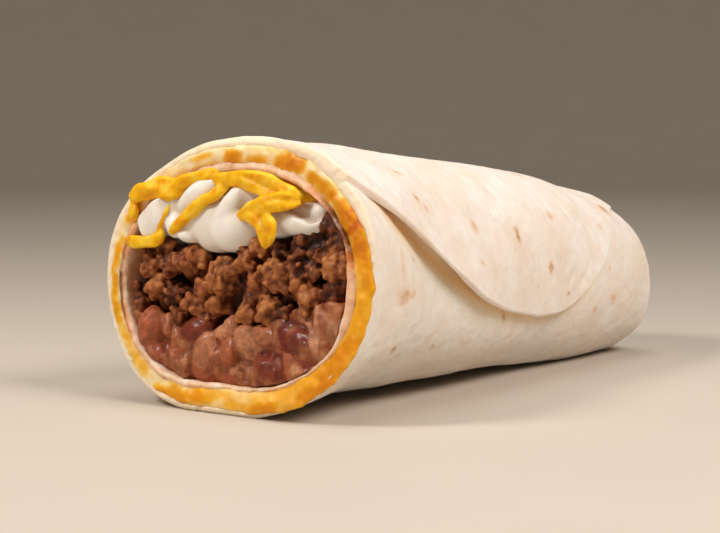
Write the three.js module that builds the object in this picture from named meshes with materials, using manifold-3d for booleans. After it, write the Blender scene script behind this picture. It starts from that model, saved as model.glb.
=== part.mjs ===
// A rolled burrito, open at one end, lying on its seam side.
//
// Two tortillas are rolled one inside the other, with melted cheese sauce between them. The
// open end shows the filling in layers: mashed beans, ground beef, sour cream and shredded
// cheddar. The last lap of the outer tortilla is a rounded flap that comes over the top and
// down the near side.
//
// Frame, millimetres: +X runs from the open end to the closed end, -Y is the near side, +Z is
// up, and the origin is under the middle of the burrito, on the surface that it lies on.

import * as THREE from 'three';
import { mergeVertices } from 'three/addons/utils/BufferGeometryUtils.js';
import Module from 'manifold-3d';

const wasm = await Module();
wasm.setup();

// ---------------------------------------------------------------------------------------------
// Driving sizes
// ---------------------------------------------------------------------------------------------

const LENGTH = 150;
// Half width and top height at the open end, one third, two thirds and the closed end.
const HALF_WIDTHS = [36.9, 30.4, 27.9, 24.2];
const HEIGHTS = [58.3, 53.6, 48.7, 41.4];
const SQUARENESS = 2.2; // 2 is an ellipse, more is squarer
const FLAT = { rim: 0.5, body: 2.2, from: 70 }; // how much of the round underside is pressed flat
const END_ROUND = 12.5; // radius of the closed end's edge
const RIM_LEAN = THREE.MathUtils.degToRad(7); // the open end's top leans back
const LEAN_REACH = 0.4 * LENGTH;
const END_LEAN = THREE.MathUtils.degToRad(8); // the closed end's foot reaches further out
const END_LEAN_FROM = 100;
// The underside is lifted behind the rim and comes down again before the closed end.
const ARCH = { rise: 2.4, full: 24, downFrom: 70, downTo: 127 };

// Layers, from the outside in.
const OUTER_WALL = 1.3;
const SAUCE = { mean: 2.45, near: 0.75, top: 0.45, sides: -0.2 }; // thickest near and on top
const INNER_WALL = 1.3;
const GAP = 0.3;

// The flap: its edge runs down the near side, along, and back up at the closed end.
const FLAP = {
  thick: 1.4,
  lowest: -19.5, // degrees round the section, 0 on the near side and 90 on top
  frontRise: 59,
  frontLength: 76,
  frontCurve: 1.85,
  lowFrom: 79,
  lowTo: 84,
  backRise: 72,
  backLength: 58,
  end: 136,
  fadeFrom: 150,
  fadeTo: 235,
  gapeAt: 30,
  gapeHalf: 26,
  gape: 1.5,
};

// How far each layer of the filling lies behind the rim.
const RECESS = { beans: 2.2, beef: 3.6, cream: 3.0, cheddar: 1.2 };

// Where one layer of the filling ends and the next begins: [toward the near side, height].
const BEANS_TOP = [[-34, 21.5], [-17, 18.9], [-5, 17.1], [3, 18.7], [11, 22.3], [19, 25], [34, 26]];
const BEEF_TOP = [
  [-34, 34.5], [-17, 35.5], [-8, 34], [1, 35.2], [10, 38.6], [18, 39.6], [25, 44], [34, 50],
];
const CREAM_TOP = [
  [-34, 36], [-27, 37.5], [-18, 43.2], [-8, 46.6], [0, 47.4], [8, 46.6], [18, 43.4], [26, 38],
];

const BEEF_LUMPS = 42;
const BEEF_LUMP_RADIUS = [2.3, 4.2];
const BEEF_SEED = 11;
const BEAN_SIZE = [5.2, 3.4, 3.3]; // half length, half width, half thickness
const BEAN_SEED = 5;
const SHRED = { width: 2.9, thick: 1.9, steps: 6 };

// Mesh fineness.
const AROUND = 42;
const LIP_COLUMNS = 3;
const FLAP_COLUMNS = 17;
const OUTER_STATIONS = [0, 2.5, 6, 11, 18, 26, 35, 45, 56, 68, 80, 92, 102, 110, 118, 127, 136, 137.4];
const INNER_STATIONS = [0, 30, 65, 100, 130];
const OUTER_TURNS = [22, 45, 68, 90];
const INNER_TURNS = [0, 45, 90];

// ---------------------------------------------------------------------------------------------
// Small helpers
// ---------------------------------------------------------------------------------------------

const radians = THREE.MathUtils.degToRad;
const { clamp, lerp, smoothstep } = THREE.MathUtils;

// A fixed sequence of numbers from 0 to 1.
function numbers(seed) {
  let state = seed;
  return () => {
    state = (state + 0x6d2b79f5) | 0;
    let mixed = Math.imul(state ^ (state >>> 15), 1 | state);
    mixed = (mixed + Math.imul(mixed ^ (mixed >>> 7), 61 | mixed)) ^ mixed;
    return ((mixed ^ (mixed >>> 14)) >>> 0) / 4294967296;
  };
}

// The smooth value at share s of the length, through four evenly spaced values.
function along(values, s) {
  let sum = 0;
  values.forEach((value, i) => {
    let weight = 1;
    values.forEach((_, j) => {
      if (j !== i) weight *= (s * 3 - j) / (i - j);
    });
    sum += value * weight;
  });
  return sum;
}

// The height of an outline at y, eased between its points.
function heightAt(outline, y) {
  const last = outline.length - 1;
  if (y <= outline[0][0]) return outline[0][1];
  if (y >= outline[last][0]) return outline[last][1];
  const i = outline.findIndex((point) => point[0] > y) - 1;
  const share = (y - outline[i][0]) / (outline[i + 1][0] - outline[i][0]);
  return lerp(outline[i][1], outline[i + 1][1], smoothstep(share, 0, 1));
}

// A hump of height 1 at `at` that falls to 0 at `half` to either side.
function hump(x, at, half) {
  const share = Math.abs(x - at) / half;
  return share < 1 ? (1 + Math.cos(Math.PI * share)) / 2 : 0;
}

const middleOf = (ring) =>
  ring.reduce((sum, point) => sum.add(point), new THREE.Vector3()).divideScalar(ring.length);

// A closed skin over rings of equally many points, each end closed to one point.
function loft(rings, startPole, endPole) {
  const count = rings[0].length;
  const points = [startPole, ...rings.flat(), endPole];
  const triangles = [];
  const at = (ring, i) => 1 + ring * count + (i % count);
  for (let i = 0; i < count; i += 1) triangles.push(0, at(0, i + 1), at(0, i));
  for (let ring = 0; ring < rings.length - 1; ring += 1) {
    // Faces split the same way whichever end the rings start from, so that nested skins match.
    const forward = rings[ring][0].x < rings[ring + 1][0].x;
    for (let i = 0; i < count; i += 1) {
      const [a, b, c, d] = [at(ring, i), at(ring, i + 1), at(ring + 1, i + 1), at(ring + 1, i)];
      triangles.push(...(forward ? [a, b, d, b, c, d] : [a, b, c, a, c, d]));
    }
  }
  const last = rings.length - 1;
  const end = points.length - 1;
  for (let i = 0; i < count; i += 1) triangles.push(at(last, i), at(last, i + 1), end);
  return facingOut(points.flatMap((point) => point.toArray()), triangles);
}

// A geometry whose faces point out, whichever way the triangles were listed.
function facingOut(positions, triangles) {
  const a = new THREE.Vector3();
  const b = new THREE.Vector3();
  const c = new THREE.Vector3();
  let volume = 0;
  for (let t = 0; t < triangles.length; t += 3) {
    a.fromArray(positions, triangles[t] * 3);
    b.fromArray(positions, triangles[t + 1] * 3);
    c.fromArray(positions, triangles[t + 2] * 3);
    volume += a.dot(b.cross(c));
  }
  const index = volume < 0 ? triangles.slice().reverse() : triangles;
  const geometry = new THREE.BufferGeometry();
  geometry.setAttribute('position', new THREE.Float32BufferAttribute(positions, 3));
  geometry.setIndex(index);
  return geometry;
}

function solidOf(geometry) {
  const bare = geometry.clone();
  bare.deleteAttribute('normal');
  bare.deleteAttribute('uv');
  const merged = mergeVertices(bare, 1e-4);
  const mesh = new wasm.Mesh({
    numProp: 3,
    vertProperties: new Float32Array(merged.attributes.position.array),
    triVerts: new Uint32Array(merged.index.array),
  });
  return new wasm.Manifold(mesh);
}

function geometryOf(solid) {
  const mesh = solid.getMesh();
  const geometry = new THREE.BufferGeometry();
  geometry.setAttribute('position', new THREE.Float32BufferAttribute(mesh.vertProperties, 3));
  geometry.setIndex(Array.from(mesh.triVerts));
  return mergeVertices(geometry, 1e-4);
}

const joined = (solids) => solids.reduce((sum, solid) => sum.add(solid));

// The largest connected body of a geometry: loose scraps left by a cut are dropped.
function largestBody(geometry) {
  const index = geometry.index.array;
  const parent = Array.from({ length: geometry.attributes.position.count }, (_, i) => i);
  const root = (i) => {
    while (parent[i] !== i) {
      parent[i] = parent[parent[i]];
      i = parent[i];
    }
    return i;
  };
  for (let t = 0; t < index.length; t += 3) {
    parent[root(index[t])] = root(index[t + 1]);
    parent[root(index[t + 1])] = root(index[t + 2]);
  }
  const bodies = new Map();
  for (let t = 0; t < index.length; t += 3) {
    const key = root(index[t]);
    if (!bodies.has(key)) bodies.set(key, []);
    bodies.get(key).push(index[t], index[t + 1], index[t + 2]);
  }
  const largest = [...bodies.values()].sort((p, q) => q.length - p.length)[0];
  geometry.setIndex(largest);
  return mergeVertices(geometry.toNonIndexed(), 1e-4);
}

// ---------------------------------------------------------------------------------------------
// The burrito's form
// ---------------------------------------------------------------------------------------------

// A ring of the form: where it is along the length, and which way its wall is thick there.
const bodyRing = (x) => ({ x, draw: 0, forward: 0, outward: 1, share: 1 });

// A ring on the closed end's rounded edge, turned by `turn` degrees from side to end.
function edgeRing(turn) {
  const angle = radians(turn);
  return {
    x: LENGTH - END_ROUND * (1 - Math.sin(angle)),
    draw: END_ROUND * (1 - Math.cos(angle)),
    forward: Math.sin(angle),
    outward: Math.cos(angle),
    share: 1,
  };
}

// A ring on the flat of the closed end, at a share of its radius.
const endRing = (share) => ({ ...edgeRing(90), share });

// Soft unevenness of a hand-rolled wrap, with the rim flatter at its far top and fuller below.
function unevenness(x, angle) {
  const waves = 0.35 * Math.sin(3 * angle + 0.06 * x) + 0.3 * Math.sin(2 * angle - 0.09 * x + 1);
  const degrees = THREE.MathUtils.euclideanModulo(THREE.MathUtils.radToDeg(angle), 360);
  const bump = (at, spread) => Math.exp(-(((degrees - at) / spread) ** 2));
  return waves + Math.exp(-x / 45) * (1.1 * bump(232, 20) - 1.7 * bump(130, 24));
}

// A point of the form at an angle round the section, `inset` deep, raised by `lift`.
function formPoint(ring, angle, inset, lift = 0) {
  const s = ring.x / LENGTH;
  const drawn = ring.draw + inset * ring.outward;
  const height = along(HEIGHTS, s);
  const flat = lerp(FLAT.rim, FLAT.body, smoothstep(ring.x, 0, FLAT.from));
  const lifted = smoothstep(ring.x, 0, ARCH.full) * (1 - smoothstep(ring.x, ARCH.downFrom, ARCH.downTo));
  const rise = ARCH.rise * lifted;
  const middle = (height + rise - flat) / 2;
  const acrossHalf = along(HALF_WIDTHS, s) - drawn;
  const upHalf = (height - rise + flat) / 2 - drawn;
  const across = Math.abs(Math.cos(angle)) ** SQUARENESS;
  const up = Math.abs(Math.sin(angle)) ** SQUARENESS;
  const reach = (across + up) ** (-1 / SQUARENESS) * ring.share;
  const proud = (unevenness(ring.x, angle) + lift) * ring.outward * ring.share;
  const y = -Math.cos(angle) * (acrossHalf * reach + proud);
  const z = Math.max(middle + Math.sin(angle) * (upHalf * reach + proud), drawn + rise);
  const leanBack = clamp(1 - ring.x / LEAN_REACH, 0, 1) * Math.tan(RIM_LEAN);
  const leanOut = smoothstep(ring.x, END_LEAN_FROM, LENGTH) * Math.tan(END_LEAN);
  const lean = (leanBack - leanOut) * (z - height / 2);
  const x = ring.x + (lift - inset) * ring.forward + lean;
  return new THREE.Vector3(x, y, z);
}

// A point in front of or behind the rim's leaning plane, at a near-side distance and a height.
function facePoint(near, height, depth) {
  const lean = Math.tan(RIM_LEAN) * (height - HEIGHTS[0] / 2);
  return new THREE.Vector3(depth + lean, -near, height);
}

const evenAngles = Array.from({ length: AROUND }, (_, i) => radians(55) + (i * 2 * Math.PI) / AROUND);

// A ring of the form at even angles; inset and shift may change with the angle.
function evenRing(ring, inset, shift = () => 0) {
  return evenAngles.map((angle) => {
    const point = formPoint(ring, angle, typeof inset === 'function' ? inset(angle) : inset);
    point.x += shift(angle);
    return point;
  });
}

const poleOf = (inset) => formPoint(endRing(0), 0, inset);

// Rings of a hidden surface, from the rim to the closed end.
const hiddenRings = (inset) => [
  ...INNER_STATIONS.map((x) => evenRing(bodyRing(x), (angle) => inset(angle, x))),
  ...INNER_TURNS.map((turn) => evenRing(edgeRing(turn), (angle) => inset(angle, LENGTH))),
];

// ---------------------------------------------------------------------------------------------
// The layers' depths
// ---------------------------------------------------------------------------------------------

// The sauce is thicker on the near side and on top, and evens out toward the closed end.
function sauceDepth(angle, x) {
  const uneven = 1 - smoothstep(x, 60, 130);
  const around = SAUCE.near * Math.cos(angle) + SAUCE.top * Math.sin(angle);
  return SAUCE.mean + uneven * (around + SAUCE.sides * Math.cos(2 * angle));
}

const outerInside = () => OUTER_WALL;
const sauceOutside = () => OUTER_WALL + GAP;
const sauceInside = (angle, x) => OUTER_WALL + GAP + sauceDepth(angle, x);
const innerOutside = (angle, x) => sauceInside(angle, x) + GAP;
const innerInside = (angle, x) => innerOutside(angle, x) + INNER_WALL;
const fillingSkin = (angle, x) => innerInside(angle, x) + GAP;

// ---------------------------------------------------------------------------------------------
// The outer tortilla, with its flap
// ---------------------------------------------------------------------------------------------

// The angle of the flap's edge at a distance along the length, degrees.
function flapEdge(x) {
  const ahead = Math.max(FLAP.lowFrom - x, 0) / FLAP.frontLength;
  if (ahead > 0) return FLAP.lowest + FLAP.frontRise * ahead ** FLAP.frontCurve;
  const share = clamp((x - FLAP.lowTo) / FLAP.backLength, 0, 1);
  return FLAP.lowest + (FLAP.backRise * (1 - Math.cos(Math.PI * share))) / 2;
}

// One ring of the outside: the flap's lip, the flap, and then the rest of the way round.
function outsideRing(ring, angleShift = 0) {
  const { x } = ring;
  const edge = flapEdge(x);
  const present = x <= FLAP.end ? 1 : 0;
  const lip = present * smoothstep(x, 3, 16) * (1 - smoothstep(x, 100, 130));
  const gape = lip * (0.35 + FLAP.gape * hump(x, FLAP.gapeAt, FLAP.gapeHalf));
  const thick = FLAP.thick * present;
  const columns = [
    [edge - 1 + 7 * lip, 0],
    [edge - 0.3 + 0.3 * lip, lerp(thick / 2, gape, lip)],
    [edge + 0.9, thick + gape],
  ];
  const flapFrom = edge + 6;
  for (let i = 0; i < FLAP_COLUMNS; i += 1) {
    const angle = lerp(flapFrom, FLAP.fadeTo, i / FLAP_COLUMNS);
    const blend = 1 - smoothstep(angle, FLAP.fadeFrom, FLAP.fadeTo);
    columns.push([angle, thick * blend + gape * Math.exp(-(angle - edge) / 8)]);
  }
  const rest = AROUND - LIP_COLUMNS - FLAP_COLUMNS;
  for (let i = 0; i < rest; i += 1) columns.push([lerp(FLAP.fadeTo, edge + 355, i / (rest - 1)), 0]);
  return columns.map(([angle, lift]) => formPoint(ring, radians(angle + angleShift), 0, lift));
}

// The rim is uneven along its edge.
const rimWave = (angle) => 0.45 * Math.sin(2 * angle + 1) + 0.3 * Math.sin(5 * angle + 2);

function outerTortilla() {
  const rim = bodyRing(0);
  const outside = [
    endRing(0.5),
    ...OUTER_TURNS.map(edgeRing).reverse(),
    ...OUTER_STATIONS.map(bodyRing).reverse(),
  ].map((ring) => outsideRing(ring));
  const inside = hiddenRings(outerInside);
  const outsideRim = outside[outside.length - 1];
  // The rim's rounded front, halfway between its two faces.
  const front = outsideRim.map((point, i) => {
    const middle = point.clone().lerp(inside[0][i], 0.5);
    middle.x += rimWave(evenAngles[i]) - OUTER_WALL * 0.45;
    return middle;
  });
  return loft([...outside, front, ...inside], formPoint(endRing(0), 0, 0), poleOf(OUTER_WALL));
}

// ---------------------------------------------------------------------------------------------
// The sauce and the inner tortilla
// ---------------------------------------------------------------------------------------------

// How far the sauce's bead stands out of the open end: most on the near side.
const beadBulge = (angle) =>
  1 + 0.55 * Math.cos(angle) + 0.3 * Math.sin(4 * angle + 1) + 0.25 * Math.sin(9 * angle);

function cheeseSauce() {
  const rim = bodyRing(0);
  const outside = hiddenRings(sauceOutside).reverse();
  const inside = hiddenRings(sauceInside);
  const bead = [[0.22, 0.75], [0.5, 1], [0.8, 0.7]].map(([share, bulge]) =>
    evenRing(
      rim,
      (angle) => sauceOutside() + share * sauceDepth(angle, 0),
      (angle) => -bulge * beadBulge(angle),
    ));
  return loft([...outside, ...bead, ...inside], poleOf(sauceOutside()), poleOf(sauceInside(0, LENGTH)));
}

function innerTortilla() {
  const outside = hiddenRings(innerOutside).reverse();
  const inside = hiddenRings(innerInside);
  const outsidePole = poleOf(innerOutside(0, LENGTH));
  const insidePole = poleOf(innerInside(0, LENGTH));
  const front = evenRing(
    bodyRing(0),
    (angle) => innerOutside(angle, 0) + INNER_WALL / 2,
    (angle) => 0.6 * rimWave(angle + 1.3) - 0.5,
  );
  return loft([...outside, front, ...inside], outsidePole, insidePole);
}

// ---------------------------------------------------------------------------------------------
// The filling
// ---------------------------------------------------------------------------------------------

// The whole filling's form, with its front at a depth behind the rim.
function fillingForm(depth) {
  const rings = hiddenRings(fillingSkin);
  const middle = facePoint(0, HEIGHTS[0] / 2, depth);
  rings[0].forEach((point) => {
    point.x += depth;
  });
  return solidOf(loft(rings.reverse(), poleOf(fillingSkin(0, LENGTH)), middle));
}

// The space between two outlines, carried back along the tapering length.
function bandForm(lower, upper) {
  const stations = [-12, 30, 90, LENGTH + 5];
  const columns = Array.from({ length: 13 }, (_, i) => -42 + 7 * i);
  const rings = stations.map((x) => {
    const s = clamp(x / LENGTH, 0, 1);
    const widthShare = along(HALF_WIDTHS, s) / HALF_WIDTHS[0];
    const heightShare = along(HEIGHTS, s) / HEIGHTS[0];
    const edge = (outline) => (near) =>
      new THREE.Vector3(x, -near * widthShare, outline(near) * heightShare);
    return [...columns.map(edge(lower)), ...columns.slice().reverse().map(edge(upper))];
  });
  return solidOf(loft(rings, middleOf(rings[0]), middleOf(rings[rings.length - 1])));
}

const beansTop = (near) => heightAt(BEANS_TOP, near);
const beefTop = (near) => heightAt(BEEF_TOP, near);
const creamTop = (near) => Math.max(heightAt(CREAM_TOP, near), beefTop(near) + 0.02);
const BELOW_ALL = () => -30;
const ABOVE_ALL = () => 90;
const raised = (outline, by) => (near) => outline(near) + by;

const bands = {
  beans: bandForm(BELOW_ALL, raised(beansTop, -GAP / 2)),
  beef: bandForm(raised(beansTop, GAP / 2), raised(beefTop, -GAP / 2)),
  cream: bandForm(raised(beefTop, GAP / 2), raised(creamTop, GAP)),
  cheddar: bandForm(raised(creamTop, 2 * GAP), ABOVE_ALL),
};

// The open end's mouth: nothing in front of the filling may reach past its outline.
const mouth = fillingForm(-6);

// A lump: a faceted ball, stretched, turned and made uneven.
function lump(ball, centre, halves, turn, roughness = 0, draw = () => 0.5) {
  ball.deleteAttribute('normal');
  ball.deleteAttribute('uv');
  const geometry = mergeVertices(ball, 1e-4);
  const position = geometry.attributes.position;
  const point = new THREE.Vector3();
  for (let i = 0; i < position.count; i += 1) {
    point.fromBufferAttribute(position, i).multiplyScalar(1 + roughness * (draw() - 0.5));
    point.multiply(halves).applyEuler(turn).add(centre);
    position.setXYZ(i, point.x, point.y, point.z);
  }
  return geometry;
}

const coarseBall = () => new THREE.OctahedronGeometry(1, 1);
const fineBall = () => new THREE.IcosahedronGeometry(1, 1);

// Mashed beans with whole beans and halves in them: [toward the near side, height, turn].
const BEAN_PLACES = [
  [-22.6, 17.2, 25], [-12.1, 15.4, -10], [-3.8, 11.8, 60], [14.8, 18.0, 20], [9.5, 10.6, -30],
  [22.6, 16.2, 70], [24.6, 22.4, -45], [1.5, 7.9, 10], [-13.7, 9.6, 40], [4.0, 15.4, -20],
  [17.4, 11.4, -60], [-21.5, 11.6, 80], [-5.5, 15.6, 5],
];

function beans() {
  const draw = numbers(BEAN_SEED);
  const whole = BEAN_PLACES.map(([near, height, turn]) => {
    const scale = 0.8 + 0.35 * draw();
    const halves = new THREE.Vector3(BEAN_SIZE[2], BEAN_SIZE[0], BEAN_SIZE[1]).multiplyScalar(scale);
    const centre = facePoint(near, height, RECESS.beans + 0.6 + 1.2 * draw());
    const tilt = new THREE.Euler(radians(turn), 0.5 * (draw() - 0.5), 0);
    return solidOf(lump(fineBall(), centre, halves, tilt, 0.08, draw));
  });
  const core = fillingForm(RECESS.beans).intersect(bands.beans);
  const heap = joined([core, ...whole]).intersect(mouth).intersect(bands.beans);
  return largestBody(geometryOf(heap));
}

// Sour cream: rounded dollops at the open end: [toward the near side, height, half width,
// half height, how far the middle lies behind the rim].
const DOLLOPS = [
  [-7.5, 40.2, 10.2, 6.4, 2.4], [-0.8, 43.4, 8.6, 5.6, 3.2], [-2.8, 38.2, 4.6, 4.2, 2.0],
  [15.8, 42.4, 7.6, 4.9, 2.9], [-24.6, 38.4, 5.2, 5.6, 3.2], [9.5, 44.4, 7.0, 4.0, 3.6],
];

function dollops(swell) {
  return joined(DOLLOPS.map(([near, height, halfWidth, halfHeight, depth], i) => {
    const halves = new THREE.Vector3(3.4 + swell, halfWidth + swell, halfHeight + swell);
    const turn = new THREE.Euler(0.2 * Math.sin(3 * i), 0, 0);
    return solidOf(lump(fineBall(), facePoint(near, height, depth), halves, turn));
  }));
}

// Cheddar shreds at the open end, each a run of [toward the near side, height, depth].
const SHREDS = [
  [[-31.5, 44.2, -0.6], [-27.4, 45.6, -0.8], [-21.6, 46.8, -0.6], [-14.2, 47.4, 0.8]],
  [[-25.6, 43.6, 0.6], [-16.2, 48.6, 0.4], [-9, 49.4, 0.2], [-4, 48.2, 1.2]],
  [[-11, 45.8, 0], [-4.6, 48.6, -0.4], [2.3, 49.4, -0.2], [9.3, 47.8, 0.4], [15, 45.6, 1.4]],
  [[-19, 37.2, 0.2], [-16.8, 41.3, -0.4], [-11.3, 44.8, -0.6], [-4.6, 48, 0.2]],
  [[-3.4, 41.6, 0.4], [3, 43.4, -1.2], [8.3, 45.2, -1], [17.4, 45.6, 1.2]],
  [[0.8, 44.4, 0.4], [5.2, 41.6, -1.6], [8.2, 38.8, -1.6], [6.3, 34.8, -0.8]],
  [[-19.4, 46.6, 0.2], [-22.7, 43.2, -0.2], [-23.6, 39, -0.4], [-22.6, 34.8, 0.4]],
  [[-29.6, 35.2, 0.6], [-26.6, 35.8, 0], [-21, 36.6, 0.2]],
  [[-29.8, 43.6, 0], [-29.6, 40.2, -0.2], [-28.6, 37.2, 0.4]],
  [[3, 49.2, 1], [10.6, 48, 0.6], [16.2, 45.9, 0.8], [20.4, 42.6, 1.8]],
  [[-1, 39.6, -0.4], [3.6, 40.6, -1.8], [8, 42.8, -1]],
];

const SHRED_CORNERS = [[1, 1], [-1, 1], [-1, -1], [1, -1]];

// One shred: a four-sided strip along a smooth run.
function shredStrip(run, swell) {
  const curve = new THREE.CatmullRomCurve3(run.map((place) => facePoint(...place)));
  const outward = new THREE.Vector3(-1, 0, 0);
  const rings = [];
  for (let i = 0; i <= SHRED.steps; i += 1) {
    const point = curve.getPoint(i / SHRED.steps);
    const tangent = curve.getTangent(i / SHRED.steps);
    if (i === 0) point.addScaledVector(tangent, -swell);
    if (i === SHRED.steps) point.addScaledVector(tangent, swell);
    const side = outward.clone().cross(tangent).normalize();
    const front = tangent.clone().cross(side).normalize();
    const halfWidth = SHRED.width / 2 + swell;
    const halfThick = SHRED.thick / 2 + swell;
    rings.push(SHRED_CORNERS.map(([across, through]) =>
      point.clone().addScaledVector(side, across * halfWidth).addScaledVector(front, through * halfThick)));
  }
  return solidOf(loft(rings, middleOf(rings[0]), middleOf(rings[SHRED.steps])));
}

const shreds = (swell) => joined(SHREDS.map((run) => shredStrip(run, swell)));

function shreddedCheddar() {
  const core = fillingForm(RECESS.cheddar).intersect(bands.cheddar);
  return largestBody(geometryOf(core.add(shreds(0).intersect(mouth))));
}

function sourCream() {
  const core = fillingForm(RECESS.cream).intersect(bands.cream);
  const lowered = bandForm(BELOW_ALL, raised(creamTop, GAP));
  const heap = core.add(dollops(0).intersect(lowered)).intersect(mouth);
  return largestBody(geometryOf(heap.subtract(shreds(GAP))));
}

// Ground beef: crumbles of mixed size over the open end, seeded.
function beef() {
  const draw = numbers(BEEF_SEED);
  const crumbles = [];
  for (let i = 0; i < BEEF_LUMPS; i += 1) {
    const near = lerp(-29, 28, (i + draw()) / BEEF_LUMPS);
    const height = lerp(beansTop(near) + 1.8, beefTop(near) - 1.6, (i * 0.618 + 0.15 * draw()) % 1);
    const radius = lerp(...BEEF_LUMP_RADIUS, draw() ** 1.5);
    const halves = new THREE.Vector3(radius * (0.8 + 0.3 * draw()), radius, radius * (0.75 + 0.4 * draw()));
    const turn = new THREE.Euler(3 * draw(), 3 * draw(), 3 * draw());
    const centre = facePoint(near, height, RECESS.beef - 0.6 * draw());
    crumbles.push(solidOf(lump(coarseBall(), centre, halves, turn, 0.3, draw)));
  }
  const core = fillingForm(RECESS.beef).intersect(bands.beef);
  const heap = joined([core, ...crumbles]).intersect(mouth).intersect(bands.beef);
  return largestBody(geometryOf(heap.subtract(dollops(GAP)).subtract(shreds(GAP))));
}

// ---------------------------------------------------------------------------------------------
// The burrito
// ---------------------------------------------------------------------------------------------

const PIECES = [
  ['tortilla_outer', outerTortilla, 0xe9d9c3, 0.75],
  ['cheese_sauce', cheeseSauce, 0xf0a83a, 0.35],
  ['tortilla_inner', innerTortilla, 0xf0e4cf, 0.7],
  ['beans', beans, 0x8a4f3c, 0.4],
  ['beef', beef, 0x6b4027, 0.55],
  ['sour_cream', sourCream, 0xf7f3ea, 0.25],
  ['shredded_cheddar', shreddedCheddar, 0xf4b43c, 0.4],
];

const group = new THREE.Group();
for (const [name, make, color, roughness] of PIECES) {
  const mesh = new THREE.Mesh(make(), new THREE.MeshStandardMaterial({ color, roughness, metalness: 0 }));
  mesh.name = name;
  group.add(mesh);
}

// The origin goes under the middle of the burrito's box.
const box = new THREE.Box3().setFromObject(group);
group.position.set(-(box.min.x + box.max.x) / 2, -(box.min.y + box.max.y) / 2, -box.min.z);

export default group;
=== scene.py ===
# A rolled burrito lying down, open at one end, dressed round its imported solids.
#
# Laid out as an add-on: sizes and colours are properties, each piece has its operator, and the
# panel lists them. Run as a script, it makes every piece in order.
#
# Forms are worked out in millimetres in the part's own run, with the rim at x = 0 and the
# closed end at x = LENGTH, and are then put into the frame in metres.

import math

import bmesh
import bpy
import numpy as np
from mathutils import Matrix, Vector


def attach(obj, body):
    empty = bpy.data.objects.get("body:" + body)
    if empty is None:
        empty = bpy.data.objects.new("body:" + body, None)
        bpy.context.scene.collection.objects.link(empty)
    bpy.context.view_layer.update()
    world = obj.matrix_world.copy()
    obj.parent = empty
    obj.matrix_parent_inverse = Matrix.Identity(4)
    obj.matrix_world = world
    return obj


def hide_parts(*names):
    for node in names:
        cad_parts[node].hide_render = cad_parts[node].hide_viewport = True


bl_info = {
    "name": "Burrito",
    "version": (1, 0, 0),
    "blender": (4, 5, 0),
    "location": "View3D > Sidebar > Burrito",
    "description": "Makes a rolled burrito, open at one end, with its wrap and filling",
    "category": "Add Mesh",
}

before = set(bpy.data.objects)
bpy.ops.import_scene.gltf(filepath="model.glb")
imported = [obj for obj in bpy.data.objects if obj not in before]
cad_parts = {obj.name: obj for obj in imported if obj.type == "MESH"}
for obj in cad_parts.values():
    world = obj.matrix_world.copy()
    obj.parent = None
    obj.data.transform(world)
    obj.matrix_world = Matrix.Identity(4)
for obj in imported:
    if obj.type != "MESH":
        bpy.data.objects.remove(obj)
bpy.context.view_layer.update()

# ---- Sizes, mm ----

MM = 0.001
# From the part's own run to the frame, whose origin is under the middle of the box.
TO_FRAME = np.array([-73.171, -0.482, 0.0])

LENGTH = 150.0
# Half width and top height at the open end, one third, two thirds and the closed end.
HALF_WIDTHS = (36.9, 30.4, 27.9, 24.2)
HEIGHTS = (58.3, 53.6, 48.7, 41.4)
SQUARENESS = 2.2
FLAT_AT_RIM, FLAT_AT_BODY, FLAT_FROM = 0.5, 2.2, 70.0
END_ROUND = 12.5
RIM_LEAN = math.tan(math.radians(7))
LEAN_REACH = 0.4 * LENGTH
END_LEAN = math.tan(math.radians(8))
END_LEAN_FROM = 100.0
ARCH_RISE, ARCH_FULL, ARCH_DOWN_FROM, ARCH_DOWN_TO = 2.4, 24.0, 70.0, 127.0

OUTER_WALL = 1.3
INNER_WALL = 1.3
GAP = 0.3
SAUCE_MEAN, SAUCE_NEAR, SAUCE_TOP, SAUCE_SIDES = 2.45, 0.75, 0.45, -0.2

# The flap: its thickness, where it ends along x, and, in degrees round the section, its lowest
# point and where it fades into the sheet on the far side. 0 is the near side and 90 the top.
FLAP_THICK = 1.4
FLAP_END = 136.0
FLAP_LOWEST = -19.5
FLAP_FADE_FROM, FLAP_FADE_TO = 150.0, 235.0
# Places along x between which the flap's edge stands off as a rolled lip.
LIP_FROM, LIP_FULL = 1.5, 12.0
LIP_FADE_FROM, LIP_FADE_TO = 100.0, 130.0
# Where along x the lip gapes most, and where the sheet below it is pressed in most.
GAPE_AT, GAPE_HALF = 29, 32
PRESSED_AT, PRESSED_HALF, PRESSED_DEEP = 36, 40, 0.85

# Height of the middle of the open face, and depths over which its pieces come forward less.
FACE_MIDDLE = 29.0
FRONT_FROM, FRONT_TO = 3.0, 8.5
# Depths by which the rim's uneven outlines have become the even ones of the body.
EDGE_BLEND, FILL_BLEND = 6, 8
SPREAD_FROM, SPREAD_TO = 5, 10

# How many values the noise draws on, and what mixes a cell's place into one of them.
NOISE_VALUES = 4096
NOISE_HASH = np.array([73856093, 19349663, 83492791])


def smoothstep(value, low, high):
    share = np.clip((value - low) / (high - low), 0.0, 1.0)
    return share * share * (3.0 - 2.0 * share)


def hump(value, at, half):
    """1 at `at`, falling smoothly to 0 at `half` to either side."""
    return 0.5 + 0.5 * np.cos(np.pi * np.clip((value - at) / half, -1.0, 1.0))


def between(low, high, share):
    return low + (high - low) * share


def along(values, share):
    """The smooth value at a share of the length, through four evenly spaced values."""
    total = 0.0
    for i, value in enumerate(values):
        weight = 1.0
        for j in range(4):
            if j != i:
                weight = weight * (share * 3.0 - j) / (i - j)
        total = total + value * weight
    return total


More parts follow.
